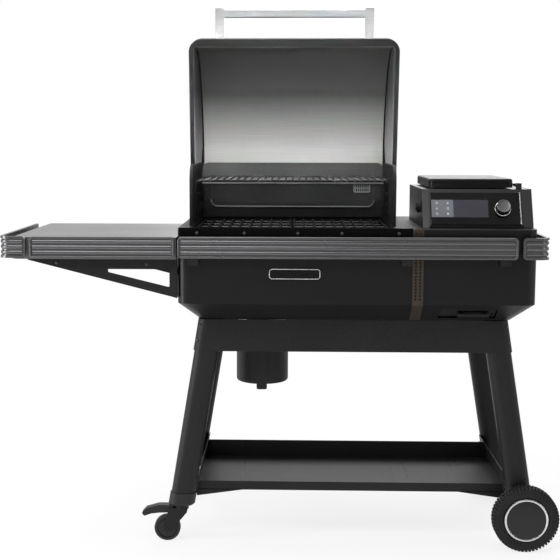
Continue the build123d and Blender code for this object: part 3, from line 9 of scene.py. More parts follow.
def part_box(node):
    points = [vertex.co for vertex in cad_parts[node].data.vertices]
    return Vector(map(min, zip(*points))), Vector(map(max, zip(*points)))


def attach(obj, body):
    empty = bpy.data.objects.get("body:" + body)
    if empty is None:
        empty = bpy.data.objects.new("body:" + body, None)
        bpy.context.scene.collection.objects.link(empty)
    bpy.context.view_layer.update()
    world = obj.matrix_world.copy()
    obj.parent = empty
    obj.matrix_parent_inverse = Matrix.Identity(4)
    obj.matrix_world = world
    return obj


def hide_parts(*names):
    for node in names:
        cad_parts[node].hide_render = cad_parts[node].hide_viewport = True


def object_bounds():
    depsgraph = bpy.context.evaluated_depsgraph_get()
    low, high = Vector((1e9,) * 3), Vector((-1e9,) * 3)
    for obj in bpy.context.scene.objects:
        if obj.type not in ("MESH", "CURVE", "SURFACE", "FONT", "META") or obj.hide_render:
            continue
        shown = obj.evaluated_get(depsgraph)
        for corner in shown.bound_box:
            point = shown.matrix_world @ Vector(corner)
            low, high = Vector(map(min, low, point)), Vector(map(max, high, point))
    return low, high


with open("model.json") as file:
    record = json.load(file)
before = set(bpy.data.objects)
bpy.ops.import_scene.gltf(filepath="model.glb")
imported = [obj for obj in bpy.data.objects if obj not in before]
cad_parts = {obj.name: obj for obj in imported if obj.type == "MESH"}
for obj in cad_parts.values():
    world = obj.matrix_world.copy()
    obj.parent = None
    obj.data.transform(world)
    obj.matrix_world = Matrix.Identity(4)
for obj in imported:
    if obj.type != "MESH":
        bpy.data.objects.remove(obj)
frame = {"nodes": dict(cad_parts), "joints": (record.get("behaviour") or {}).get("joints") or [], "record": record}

# The looks of a pellet smoker grill, in metres, in the CAD part's own frame: X to the hopper side,
# Y to the back, Z up. Every place below is read from the frame's own nodes and joints.

CAD_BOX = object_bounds()
NODES = frame["nodes"]
JOINTS = {joint["name"]: joint for joint in frame["joints"]}
SLOTS = {part["node"]: part["material_slot"] for part in frame["record"]["subparts"]}
MM = 0.001
X_AXIS = Vector((1, 0, 0))
Y_AXIS = Vector((0, 1, 0))
Z_AXIS = Vector((0, 0, 1))


# ---- Materials ----
def shade(colour, by, plus=0.0):
    """A colour made lighter or darker, and lifted by plus, never past white."""
    return tuple(min(1.0, c * by + plus) for c in colour)


class Finish:
    """A material under construction: its node tree, with short calls for what the finishes share."""

    def __init__(self, name, roughness=0.5, metallic=0.0, specular=0.5):
        self.material = bpy.data.materials.new(name)
        self.material.use_nodes = True
        self.tree = self.material.node_tree
        self.shader = self.tree.nodes["Principled BSDF"]
        self.place = self.node("ShaderNodeTexCoord").outputs["Object"]
        self.height = None
        self.set("Roughness", roughness)
        self.set("Metallic", metallic)
        self.set("Specular IOR Level", specular)

    def node(self, kind, **values):
        made = self.tree.nodes.new(kind)
        for key, value in values.items():
            setattr(made, key, value)
        return made

    def set(self, name, value):
        """Gives a shader input a number, a colour or another node's output."""
        socket = self.shader.inputs[name]
        if isinstance(value, bpy.types.NodeSocket):
            self.tree.links.new(value, socket)
        elif isinstance(value, tuple):
            socket.default_value = (*value, 1.0)
        else:
            socket.default_value = value

    def feed(self, node, index, value):
        if isinstance(value, bpy.types.NodeSocket):
            self.tree.links.new(value, node.inputs[index])
        else:
            node.inputs[index].default_value = value

    def sum(self, operation, a, b=0.0):
        """One arithmetic step."""
        made = self.node("ShaderNodeMath", operation=operation)
        self.feed(made, 0, a)
        self.feed(made, 1, b)
        return made.outputs[0]

    def noise(self, scale, detail=2.0, stretch=(1, 1, 1)):
        """Noise with about scale features a metre; stretch squeezes it along each axis."""
        mapping = self.node("ShaderNodeMapping")
        mapping.inputs["Scale"].default_value = stretch
        self.tree.links.new(self.place, mapping.inputs["Vector"])
        made = self.node("ShaderNodeTexNoise")
        self.tree.links.new(mapping.outputs[0], made.inputs["Vector"])
        made.inputs["Scale"].default_value = scale
        made.inputs["Detail"].default_value = detail
        return made.outputs["Fac"]

    def cells(self, scale):
        made = self.node("ShaderNodeTexVoronoi")
        self.tree.links.new(self.place, made.inputs["Vector"])
        made.inputs["Scale"].default_value = scale
        return made.outputs["Distance"]

    def between(self, factor, low, high, start=0.3, end=0.7):
        """Maps a factor from start..end onto low..high."""
        made = self.node("ShaderNodeMapRange")
        self.tree.links.new(factor, made.inputs["Value"])
        for name, value in zip(("From Min", "From Max", "To Min", "To Max"), (start, end, low, high)):
            made.inputs[name].default_value = value
        return made.outputs["Result"]

    def blend(self, factor, first, second):
        """Mixes two colours."""
        made = self.node("ShaderNodeMix", data_type="RGBA")
        self.feed(made, 0, factor)
        for index, colour in ((6, first), (7, second)):
            self.feed(made, index, (*colour, 1.0) if isinstance(colour, tuple) else colour)
        return made.outputs[2]

    def edges(self, radius=1.2 * MM):
        """1 along sharp edges and 0 on open faces."""
        rounded = self.node("ShaderNodeBevel", samples=4)
        rounded.inputs["Radius"].default_value = radius
        geometry = self.node("ShaderNodeNewGeometry")
        dot = self.node("ShaderNodeVectorMath", operation="DOT_PRODUCT")
        self.tree.links.new(rounded.outputs[0], dot.inputs[0])
        self.tree.links.new(geometry.outputs["Normal"], dot.inputs[1])
        return self.between(dot.outputs["Value"], 1.0, 0.0, 0.8, 0.99)

    def set_worn(self, tone, worn, share=1.0, radius=1.2 * MM):
        """Sets the colour to tone, going towards worn along the edges."""
        edge = self.edges(radius)
        factor = edge if share == 1.0 else self.sum("MULTIPLY", edge, share)
        self.set("Base Color", self.blend(factor, tone, worn))

    def add_height(self, factor, depth):
        """Adds relief to the surface; depth is in metres."""
        bump = self.node("ShaderNodeBump")
        bump.inputs["Strength"].default_value = 1.0
        bump.inputs["Distance"].default_value = depth
        self.tree.links.new(factor, bump.inputs["Height"])
        if self.height is not None:
            self.tree.links.new(self.height, bump.inputs["Normal"])
        self.height = bump.outputs[0]
        self.set("Normal", self.height)

    def radius_from(self, centre, axis):
        """The distance from an axis through centre, for spun metal."""
        away = self.node("ShaderNodeVectorMath", operation="SUBTRACT")
        self.tree.links.new(self.place, away.inputs[0])
        away.inputs[1].default_value = centre
        cross = self.node("ShaderNodeVectorMath", operation="CROSS_PRODUCT")
        self.tree.links.new(away.outputs[0], cross.inputs[0])
        cross.inputs[1].default_value = axis
        length = self.node("ShaderNodeVectorMath", operation="LENGTH")
        self.tree.links.new(cross.outputs[0], length.inputs[0])
        return length.outputs["Value"]


def powder_coat(name, colour, rough=0.5, grain=0.00008, sparkle=0.5, specular=0.3):
    """Textured powder coat: orange peel, pale specks, faint cloudy tone and paler worn edges."""
    finish = Finish(name, specular=specular)
    cloud = finish.noise(5.0, 3.0)
    peel = finish.noise(700.0, 2.0)
    speck = finish.noise(420.0, 2.0)
    tone = finish.blend(finish.between(cloud, 0.0, 1.0), shade(colour, 0.75), shade(colour, 1.25))
    flecked = finish.blend(
        finish.between(speck, 0.0, sparkle, 0.56, 0.7), tone, shade(colour, 3.2, 0.006)
    )
    finish.set_worn(flecked, shade(colour, 2.4, 0.01), 0.6)
    finish.set("Roughness", finish.between(peel, rough - 0.06, rough + 0.08))
    finish.add_height(peel, grain)
    finish.add_height(speck, grain)
    return finish.material


def metallic_paint(name, colour, rough=0.36):
    """Gunmetal paint: small bright flakes in a darker coat, with a light clear sheen."""
    finish = Finish(name, metallic=0.75, specular=0.5)
    cloud = finish.noise(4.0, 2.0)
    flake = finish.noise(3500.0, 1.0)
    tone = finish.blend(finish.between(flake, 0.0, 1.0), shade(colour, 0.8), shade(colour, 1.25))
    finish.set_worn(tone, shade(colour, 1.8), 0.5)
    finish.set("Roughness", finish.between(cloud, rough - 0.04, rough + 0.06))
    finish.add_height(flake, 0.00001)
    return finish.material


def brushed(name, colour, rough, along, smudge=0.05, metallic=1.0):
    """Straight brush marks; along is 1 on the axis they run and large across it.

    Gives back the finish and its colour, so that more can be laid over the colour.
    """
    finish = Finish(name, metallic=metallic)
    marks = finish.noise(6.0, 4.0, along)
    fine = finish.noise(18.0, 3.0, along)
    cloud = finish.noise(3.0, 3.0)
    tone = finish.blend(finish.between(marks, 0.0, 1.0), shade(colour, 0.88), shade(colour, 1.08))
    stain = finish.sum("MULTIPLY", finish.between(cloud, 0.0, 1.0), smudge)
    stained = finish.blend(stain, tone, shade(colour, 0.5))
    finish.set("Roughness", finish.between(fine, rough - 0.06, rough + 0.08))
    finish.set("Anisotropic", 0.5)
    finish.add_height(marks, 0.00002)
    return finish, stained


def brushed_metal(name, colour, rough, along, smudge=0.05):
    finish, stained = brushed(name, colour, rough, along, smudge)
    finish.set("Base Color", stained)
    return finish.material


def liner_with_painted_shade(name, colour, rough, along, shade_start, shade_full):
    """Brushed steel darkened with height, from the lower given height to the upper: painted shade, so that the
    lower liner reads as the bright lit band.
    """
    finish, stained = brushed(name, colour, rough, along, metallic=0.5)
    parts = finish.node("ShaderNodeSeparateXYZ")
    finish.tree.links.new(finish.place, parts.inputs[0])
    # Painted shade: the colour goes darker up the liner, standing in for the light that falls on its lower part.
    painted_shade = finish.between(parts.outputs["Z"], 0.0, 1.0, shade_start, shade_full)
    finish.set("Base Color", finish.blend(painted_shade, stained, shade(colour, 0.16)))
    return finish.material


def plain_metal(name, colour, rough=0.38):
    """Rolled or plated steel with faint mottling and a few dull patches."""
    finish = Finish(name, metallic=1.0)
    mottle = finish.noise(120.0, 3.0)
    cloud = finish.noise(14.0, 3.0)
    tone = finish.blend(finish.between(cloud, 0.0, 1.0), shade(colour, 0.78), colour)
    finish.set_worn(tone, shade(colour, 1.3))
    finish.set("Roughness", finish.between(mottle, rough - 0.08, rough + 0.12))
    finish.add_height(mottle, 0.00002)
    return finish.material


def enamel(name, colour, rough=0.24):
    """Glassy enamel on cast or drawn bars, with a slightly lumpy skin."""
    finish = Finish(name, specular=0.6)
    lump = finish.noise(160.0, 3.0)
    haze = finish.noise(30.0, 3.0)
    tone = finish.blend(finish.between(haze, 0.0, 1.0), shade(colour, 0.7), shade(colour, 1.3))
    finish.set_worn(tone, shade(colour, 3), 0.4, 0.6 * MM)
    finish.set("Roughness", finish.between(haze, rough - 0.06, rough + 0.12))
    finish.add_height(lump, 0.00012)
    return finish.material


def moulded_plastic(name, colour, rough=0.5):
    """Black moulding with a spark-eroded grain."""
    finish = Finish(name, specular=0.45)
    grain = finish.cells(1400.0)
    cloud = finish.noise(20.0, 2.0)
    tone = finish.blend(finish.between(cloud, 0.0, 1.0), shade(colour, 0.85), shade(colour, 1.15))
    finish.set_worn(tone, shade(colour, 2.0, 0.01), 0.6)
    finish.set("Roughness", finish.between(cloud, rough - 0.05, rough + 0.08))
    finish.add_height(grain, 0.00006)
    return finish.material


def glossy(name, colour, rough=0.1, specular=0.5, coat=0.5):
    """Polished plastic or glass with hairline scratches and faint finger haze."""
    finish = Finish(name, specular=specular)
    haze = finish.noise(30.0, 3.0)
    scratch = finish.noise(40.0, 2.0, (1, 30, 30))
    tone = finish.blend(finish.between(haze, 0.0, 1.0), colour, shade(colour, 1.35))
    finish.set("Base Color", tone)
    finish.set("Roughness", finish.between(haze, rough, rough + 0.1))
    finish.set("Coat Weight", coat)
    finish.set("Coat Roughness", 0.06)
    finish.add_height(scratch, 0.000004)
    return finish.material


def spun_metal(name, colour, centre, axis, rough=0.28):
    """Turned aluminium: fine circles about its axis."""
    finish = Finish(name, metallic=1.0)
    radius = finish.radius_from(centre, axis)
    ring = finish.node("ShaderNodeTexNoise", noise_dimensions="1D")
    ring.inputs["Scale"].default_value = 2200.0
    finish.tree.links.new(radius, ring.inputs["W"])
    circles = ring.outputs["Fac"]
    tone = finish.blend(finish.between(circles, 0.0, 1.0), shade(colour, 0.75), shade(colour, 1.15))
    finish.set("Base Color", tone)
    finish.set("Roughness", finish.between(circles, rough - 0.06, rough + 0.1))
    finish.add_height(circles, 0.00003)
    return finish.material


def rubber(name, colour, rough=0.72, dust=0.4):
    """Matt rubber with a fine pitted skin and a little dust on raised edges."""
    finish = Finish(name, specular=0.3)
    pits = finish.noise(700.0, 3.0)
    cloud = finish.noise(25.0, 3.0)
    tone = finish.blend(finish.between(cloud, 0.0, 1.0), shade(colour, 0.8), shade(colour, 1.3))
    finish.set_worn(tone, shade(colour, 3.0, 0.02), dust, 1.5 * MM)
    finish.set("Roughness", finish.between(pits, rough - 0.08, rough + 0.1))
    finish.add_height(pits, 0.00008)
    return finish.material


def screen_glass(name, colour, pitch=1.6 * MM):
    """A display behind glass: faint dot rows under a polished face."""
    finish = Finish(name, roughness=0.16, specular=0.5)
    dots = finish.cells(1.0 / pitch)
    haze = finish.noise(12.0, 2.0)
    tone = finish.blend(finish.between(haze, 0.0, 1.0), shade(colour, 0.85), shade(colour, 1.12))
    finish.set("Base Color", finish.blend(finish.between(dots, 0.12, 0.0), tone, shade(colour, 1.6)))
    finish.set("Coat Weight", 0.4)
    finish.add_height(haze, 0.00001)
    return finish.material


ALONG_X = (1, 160, 160)
KNOB_JOINT = JOINTS["knob_turn"]
KNOB_CENTRE = Vector(KNOB_JOINT["pos_m"])
PANEL_OUT = Vector(KNOB_JOINT["axis"]).normalized()
PANEL_UP = PANEL_OUT.cross(X_AXIS).normalized()

LINER_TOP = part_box("hood_liner")[1].z
# Where the liner's painted shade starts and where it is full: darker towards the top.
LINER_SHADE_START = LINER_TOP - 0.32
LINER_SHADE_FULL = LINER_TOP - 0.14

MATERIALS = {
    "black_powder_coat": powder_coat("powder_coat_black", (0.0075, 0.0075, 0.008)),
    "grey_metallic": metallic_paint("metallic_grey", (0.17, 0.168, 0.172)),
    "brushed_liner": liner_with_painted_shade(
        "liner_steel", (0.72, 0.715, 0.71), 0.4, ALONG_X, LINER_SHADE_START, LINER_SHADE_FULL
    ),
    "brushed_handle": brushed_metal("handle_aluminium", (0.78, 0.78, 0.785), 0.3, ALONG_X, 0.02),
    "bronze": metallic_paint("bronze_paint", (0.064, 0.051, 0.041), 0.46),
    "enamelled_wire": enamel("grate_enamel", (0.022, 0.022, 0.024)),
    "plain_steel": plain_metal("plain_steel", (0.42, 0.42, 0.42)),
    "black_plastic": moulded_plastic("moulded_black", (0.009, 0.009, 0.0095)),
    "gloss_panel": glossy("panel_gloss", (0.003, 0.003, 0.0035), specular=0.3, coat=0.1),
    "display_glass": screen_glass("display_glass", (0.037, 0.035, 0.047)),
    "knob_metal": spun_metal("knob_aluminium", (0.16, 0.16, 0.165), KNOB_CENTRE, PANEL_OUT, 0.4),
    "tyre_rubber": rubber("tyre_rubber", (0.011, 0.011, 0.012)),
    "cover_rubber": rubber("cover_rubber", (0.008, 0.008, 0.008), 0.6, 0.1),
}
RACK_WIRE = plain_metal("rack_wire_plated", (0.10, 0.10, 0.10), 0.36)
BRIGHT_TRIM = plain_metal("bright_trim", (0.8, 0.8, 0.81), 0.25)
DARK_KNURL = plain_metal("knob_rim_dark", (0.05, 0.05, 0.052), 0.35)
SCREW_STEEL = plain_metal("screw_steel", (0.09, 0.09, 0.09), 0.36)
SMOOTH_BLACK = powder_coat("smooth_black", (0.004, 0.004, 0.0045), 0.34, 0.000004, 0.05, 0.2)
BARREL_BLACK = powder_coat("barrel_black", (0.003, 0.003, 0.0035), 0.4, 0.00004, 0.3, 0.3)
LIP_BLACK = powder_coat("lip_black", (0.0015, 0.0015, 0.0018), 0.4, 0.000004, 0.0, 0.08)
RAIL_GREY = metallic_paint("rail_grey", (0.125, 0.124, 0.128), 0.28)
ICON_TILE = screen_glass("icon_tile", (0.155, 0.16, 0.18), 1.2 * MM)
ICON_MARK = glossy("icon_mark", (0.42, 0.43, 0.48), 0.3)
OWN_FINISH = {
    "upper_rack": RACK_WIRE,
    "rack_hangers": plain_metal("hanger_steel", (0.05, 0.05, 0.05), 0.45),
    "front_rails": RAIL_GREY,
    "end_rails": RAIL_GREY,
    "barrel_shell": BARREL_BLACK,
    # The rear plate's black is paler than the other blacks as painted light, for the light that falls on it; its
    # glossier finish is its own.
    "chamber_back": powder_coat("plate_black_painted_light", (0.018, 0.018, 0.019), 0.42, 0.00004, 0.2, 0.4),
    "front_lip": LIP_BLACK,
    "hopper_housing": powder_coat("hopper_black", (0.005, 0.005, 0.0055), 0.34, 0.00004, 0.3, 0.6),
    "hopper_lid": SMOOTH_BLACK,
    "name_plate": SMOOTH_BLACK,
    "control_knob": DARK_KNURL,
}


# ---- Mesh helpers ----
def add_piece(name, body, slot, mesh, material=None, replaces=()):
    """Turns a bmesh into a shown piece on a CAD body."""
    bmesh.ops.recalc_face_normals(mesh, faces=mesh.faces)
    data = bpy.data.meshes.new(name)
    mesh.to_mesh(data)
    mesh.free()
    piece = bpy.data.objects.new(name, data)
    bpy.context.scene.collection.objects.link(piece)
    data.materials.append(material or MATERIALS[slot])
    shade_by_angle(piece)
    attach(piece, body)
    if replaces:
        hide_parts(*replaces)
    return piece


def shade_by_angle(piece, limit=math.radians(35)):
    """Smooth shading with sharp creases wherever two faces meet at more than limit."""
    mesh = bmesh.new()
    mesh.from_mesh(piece.data)
    for face in mesh.faces:
        face.smooth = True
    for edge in mesh.edges:
        edge.smooth = len(edge.link_faces) == 2 and edge.calc_face_angle(0.0) < limit
    mesh.to_mesh(piece.data)
    mesh.free()


def frame_at(centre, axis):
    """A matrix whose Z runs along axis from centre."""
    return Matrix.Translation(centre) @ Vector(axis).to_track_quat("Z", "Y").to_matrix().to_4x4()


def circle(mesh, radius, height, place, steps):
    """A ring of new vertices round the place's own Z."""
    ring = []
    for i in range(steps):
        angle = 2 * math.pi * i / steps
        point = Vector((radius * math.cos(angle), radius * math.sin(angle), height))
        ring.append(mesh.verts.new(place @ point))
    return ring


def turn_profile(mesh, profile, place, steps=96):
    """A closed turned shape. profile lists (radius, height); the first and last points lie on the axis."""
    rings = []
    for radius, height in profile:
        if radius < 1e-7:
            rings.append([mesh.verts.new(place @ Vector((0, 0, height)))])
        else:
            rings.append(circle(mesh, radius, height, place, steps))
    for low, high in zip(rings, rings[1:]):
        for i in range(steps):
            j = i + 1
            corners = [low[i % len(low)], low[j % len(low)], high[j % len(high)], high[i % len(high)]]
            unique = list(dict.fromkeys(corners))
            if len(unique) > 2:
                mesh.faces.new(unique)


def turn_ring(mesh, profile, place, steps=96):
    """A closed ring: profile is a loop of (radius, height) that never meets the axis."""
    rings = [circle(mesh, radius, height, place, steps) for radius, height in profile]
    for low, high in zip(rings, rings[1:] + rings[:1]):
        for i in range(steps):
            j = (i + 1) % steps
            mesh.faces.new((low[i], low[j], high[j], high[i]))


def prism(mesh, outline, place, height):
    """An upright prism on a flat outline of (x, y) points."""
    low = [mesh.verts.new(place @ Vector((x, y, 0))) for x, y in outline]
    high = [mesh.verts.new(place @ Vector((x, y, height))) for x, y in outline]
    mesh.faces.new(low[::-1])
    mesh.faces.new(high)
    for i in range(len(low)):
        j = (i + 1) % len(low)
        mesh.faces.new((low[i], low[j], high[j], high[i]))


def rounded_outline(width, height, radius, steps=6):
    """The corners of a rounded rectangle centred on the origin."""
    points = []
    for quarter, (sx, sy) in enumerate(((1, 1), (-1, 1), (-1, -1), (1, -1))):
        for i in range(steps + 1):
            angle = math.pi / 2 * (quarter + i / steps)
            points.append(
                (
                    sx * (width / 2 - radius) + radius * math.cos(angle),
                    sy * (height / 2 - radius) + radius * math.sin(angle),
                )
            )
    return points


def soften_edges(piece, width, segments=2):
    """A small rounded edge."""
    bevel = piece.modifiers.new("edge", "BEVEL")
    bevel.width = width
    bevel.segments = segments
    bevel.limit_method = "ANGLE"
    bevel.angle_limit = math.radians(40)
    return piece


def islands(node):
    """The (low, high) corners of each separate solid in a CAD node."""
    mesh = bmesh.new()
    mesh.from_mesh(NODES[node].data)
    bmesh.ops.remove_doubles(mesh, verts=mesh.verts, dist=1e-5)
    left = set(mesh.verts)
    boxes = []
    while left:
        stack = [left.pop()]
        found = []
        while stack:
            vertex = stack.pop()
            found.append(vertex.co.copy())
            for edge in vertex.link_edges:
                other = edge.other_vert(vertex)
                if other in left:
                    left.remove(other)
                    stack.append(other)
        low = Vector(min(p[k] for p in found) for k in range(3))
        high = Vector(max(p[k] for p in found) for k in range(3))
        boxes.append((low, high))
    mesh.free()
    return sorted(boxes, key=lambda pair: tuple(round(c, 4) for c in pair[0]))


# ---- CAD nodes ----
def finish_cad_nodes():
    """Gives each CAD node its material."""
    for name, node in NODES.items():
        node.data.materials.clear()
        node.data.materials.append(OWN_FINISH.get(name) or MATERIALS[SLOTS[name]])


# ---- Wheels ----
LUGS = 56
LUG_DEPTH = 4.5 * MM
LUG_STAGGER = 0.25
LUG_HALF_SHARE = 0.30


def treaded_tyre(side):
    """A tyre with a bulged wall and staggered shoulder lugs, in place of the plain CAD ring."""
    low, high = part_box(side + "_tyre")
    centre = (low + high) / 2
    radius = (high.z - low.z) / 2
    half = (high.y - low.y) / 2
    hub_low, hub_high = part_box(side + "_hub")
    bead = (hub_high.z - hub_low.z) / 2 + 0.5 * MM
    base = radius - LUG_DEPTH
    place = frame_at(centre, Y_AXIS)
    mesh = bmesh.new()
    wall = [
        (bead, half - 7 * MM),
        (bead + 1.5 * MM, half - 4.5 * MM),
        (bead + 5 * MM, half - 2.6 * MM),
        (bead + 10 * MM, half - 0.9 * MM),
        (bead + 15 * MM, half - 0.6 * MM),
        (bead + 20 * MM, half - 1.6 * MM),
        (base - 1.5 * MM, half - 4.5 * MM),
        (base, half - 8 * MM),
    ]
    loop = wall + [(base + 0.6 * MM, 0)] + [(r, -h) for r, h in reversed(wall)]
    turn_ring(mesh, loop, place, 2 * LUGS)
    for row in (-1, 1):
        section = [
            (base - 1 * MM, row * 2.5 * MM),
            (radius - 0.2 * MM, row * 2.5 * MM),
            (radius, row * (half - 9 * MM)),
            (radius - 2.2 * MM, row * (half - 4 * MM)),
            (base - 4 * MM, row * (half - 1.8 * MM)),
            (base - 5 * MM, row * (half - 5 * MM)),
        ]
        for i in range(LUGS):
            middle = 2 * math.pi * (i + row * LUG_STAGGER) / LUGS
            lug(mesh, section, place, middle, LUG_HALF_SHARE * 2 * math.pi / LUGS)
    add_piece(side + "_tyre_tread", side + "_wheel", "tyre_rubber", mesh, replaces=[side + "_tyre"])


def lug(mesh, section, place, middle, half_angle):
    """One tread block: a cross-section of (radius, height) points swept through a small angle."""
    ends = []
    for angle in (middle - half_angle, middle + half_angle):
        turn = place @ Matrix.Rotation(angle, 4, "Z")
        ends.append([mesh.verts.new(turn @ Vector((radius, 0, height))) for radius, height in section])
    first, last = ends
    mesh.faces.new(first[::-1])
    mesh.faces.new(last)
    for i in range(len(first)):
        j = (i + 1) % len(first)
        mesh.faces.new((first[i], first[j], last[j], last[i]))


RING_OUTER = 0.98
RING_WIDTH = 5.2 * MM
SPOKES = 5


def hub_trim(side, outward):
    """The bright ring and the dished cap on a wheel's outer face. outward is -1 at the front."""
    low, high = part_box(side + "_hub")
    centre = (low + high) / 2
    radius = (high.z - low.z) / 2
    half = (high.y - low.y) / 2
    place = frame_at(centre, Y_AXIS * outward)
    outer = radius * RING_OUTER
    inner = outer - RING_WIDTH
    ring = bmesh.new()
    section = [
        (inner, half - 1.5 * MM),
        (outer, half - 1.5 * MM),
        (outer, half + 0.6 * MM),
        (outer - 1.2 * MM, half + 1.4 * MM),
        (inner + 1.2 * MM, half + 1.4 * MM),
        (inner, half + 0.6 * MM),
    ]
    turn_ring(ring, section, place, 128)
    add_piece(side + "_hub_ring", side + "_wheel", "plain_steel", ring, BRIGHT_TRIM)
    cap = bmesh.new()
    rim = inner - 0.3 * MM
    face = half + 3.2 * MM
    profile = [
        (0, half + 2.2 * MM),
        (rim * 0.6, half + 1.4 * MM),
        (rim * 0.93, half - 0.6 * MM),
        (rim, half - 1.2 * MM),
        (rim, half + 0.2 * MM),
        (rim * 0.97, half + 0.9 * MM),
        (rim * 0.9, half + 0.7 * MM),
        (rim * 0.86, half + 1.3 * MM),
        (rim * 0.5, face - 0.5 * MM),
        (rim * 0.2, face),
        (0, face),
    ]
    turn_profile(cap, profile, place, 96)
    for i in range(SPOKES):
        turn = Matrix.Rotation(2 * math.pi * i / SPOKES, 4, "Z")
        spoke = place @ turn @ Matrix.Translation((rim * 0.62, 0, half + 0.9 * MM))
        prism(cap, rounded_outline(rim * 0.3, 2.4 * MM, 1.1 * MM, 3), spoke, 1.7 * MM)
    add_piece(side + "_hub_cap", side + "_wheel", "black_plastic", cap)


# ---- Fasteners ----
def screw_heads():
    """Domed heads with a hexagon socket, one for each CAD screw, facing out from the cart."""
    mesh = bmesh.new()
    middle_x = (CAD_BOX[0][0] + CAD_BOX[1][0]) / 2
    for low, high in islands("screws"):
        centre = (low + high) / 2
        radius = (high.z - low.z) / 2
        size = high - low
        slanted = size.x > 2 * radius * 1.02 or size.y > radius * 1.2
        outward = -Y_AXIS
        if slanted and centre.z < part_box("keg_collar")[1].z:
            outward = Vector((math.copysign(1.0, centre.x - middle_x), -1.0, 0)).normalized()
        height = 2.2 * MM
        place = frame_at(centre - outward * height / 2, outward)
        socket = radius * 0.42
        profile = [
            (0, 0),
            (radius, 0),
            (radius, height * 0.25),
            (radius * 0.93, height * 0.6),
            (radius * 0.7, height * 0.9),
            (radius * 0.5, height),
            (socket, height),
            (socket * 0.95, height * 0.45),
            (0, height * 0.4),
        ]
        turn_profile(mesh, profile, place, 24)
    add_piece("screw_heads", "cart", "plain_steel", mesh, SCREW_STEEL, replaces=["screws"])


# ---- Plate, liner and shelf details ----
def band(mesh, outer, inner, place, height):
    """A closed band between two outlines with the same number of points."""
    rings = []
    for outline, level in ((outer, 0), (outer, height), (inner, height), (inner, 0)):
        rings.append([mesh.verts.new(place @ Vector((x, y, level))) for x, y in outline])
    for low, high in zip(rings, rings[1:] + rings[:1]):
        for i in range(len(low)):
            j = (i + 1) % len(low)
            mesh.faces.new((low[i], low[j], high[j], high[i]))


def facing_front(low, high, y):
    """A place on a front face: x to the right, y up and z towards the front."""
    axes = Matrix((X_AXIS, Z_AXIS, -Y_AXIS)).transposed().to_4x4()
    return Matrix.Translation(((low.x + high.x) / 2, y, (low.z + high.z) / 2)) @ axes


def plate_border():
    """The bright raised line round the blank name plate."""
    low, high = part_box("name_plate")
    width, height = high.x - low.x, high.z - low.z
    mesh = bmesh.new()
    outer = rounded_outline(width - 0.6 * MM, height - 0.6 * MM, 8.6 * MM)
    inner = rounded_outline(width - 4.2 * MM, height - 4.2 * MM, 6.9 * MM)
    band(mesh, outer, inner, facing_front(low, high, low.y + 0.4 * MM), 0.9 * MM)
    piece = add_piece("name_plate_border", "cart", "grey_metallic", mesh, BRIGHT_TRIM)
    soften_edges(piece, 0.3 * MM)


def panel_outline():
    """A thin dark frame that stands round the display."""
    low, high = extent_on_panel("display")
    width, height = high[0] - low[0], high[1] - low[1]
    mesh = bmesh.new()
    outer = rounded_outline(width + 5 * MM, height + 5 * MM, 3 * MM)
    inner = rounded_outline(width + 0.6 * MM, height + 0.6 * MM, 1.4 * MM)
    face_high = extent_on_panel("control_panel")[0][2] + 3 * MM
    place = panel_frame((low[0] + high[0]) / 2, (low[1] + high[1]) / 2, face_high - 0.2 * MM)
    band(mesh, outer, inner, place, 0.9 * MM)
    soften_edges(add_piece("display_frame", "cart", "gloss_panel", mesh), 0.3 * MM)


def tube_along(mesh, points, radius, across, steps=10):
    """A closed round tube through points that lie in a plane whose normal is across."""
    rings = []
    for i, point in enumerate(points):
        before = points[max(i - 1, 0)]
        after = points[min(i + 1, len(points) - 1)]
        along = (after - before).normalized()
        side = along.cross(across).normalized()
        ring = []
        for k in range(steps):
            angle = 2 * math.pi * k / steps
            away = side * math.cos(angle) + across * math.sin(angle)
            ring.append(mesh.verts.new(point + away * radius))
        rings.append(ring)
    for low, high in zip(rings, rings[1:]):
        for k in range(steps):
            m = (k + 1) % steps
            mesh.faces.new((low[k], low[m], high[m], high[k]))
    mesh.faces.new(rings[0][::-1])
    mesh.faces.new(rings[-1])


def section_at(node, x):
    """The points where a plane of constant x cuts a CAD node, in order round its outline."""
    mesh = bmesh.new()
    mesh.from_mesh(NODES[node].data)
    bmesh.ops.remove_doubles(mesh, verts=mesh.verts, dist=1e-5)
    cut = bmesh.ops.bisect_plane(
        mesh, geom=mesh.verts[:] + mesh.edges[:] + mesh.faces[:], plane_co=(x, 0, 0), plane_no=X_AXIS
    )
    edges = [e for e in cut["geom_cut"] if isinstance(e, bmesh.types.BMEdge)]
    joined = {}
    for edge in edges:
        for a, b in (edge.verts, reversed(edge.verts)):
            joined.setdefault(a, []).append(b)
    start = min(joined, key=lambda v: (round(v.co.y, 4), round(v.co.z, 4)))
    chain = [start]
    seen = {start}
    while True:
        onward = [v for v in joined[chain[-1]] if v not in seen]
        if not onward:
            break
        chain.append(onward[0])
        seen.add(onward[0])
    points = [vertex.co.copy() for vertex in chain]
    mesh.free()
    return points


SKIRT_DROP = 18 * MM
SKIRT_SHEET = 2 * MM


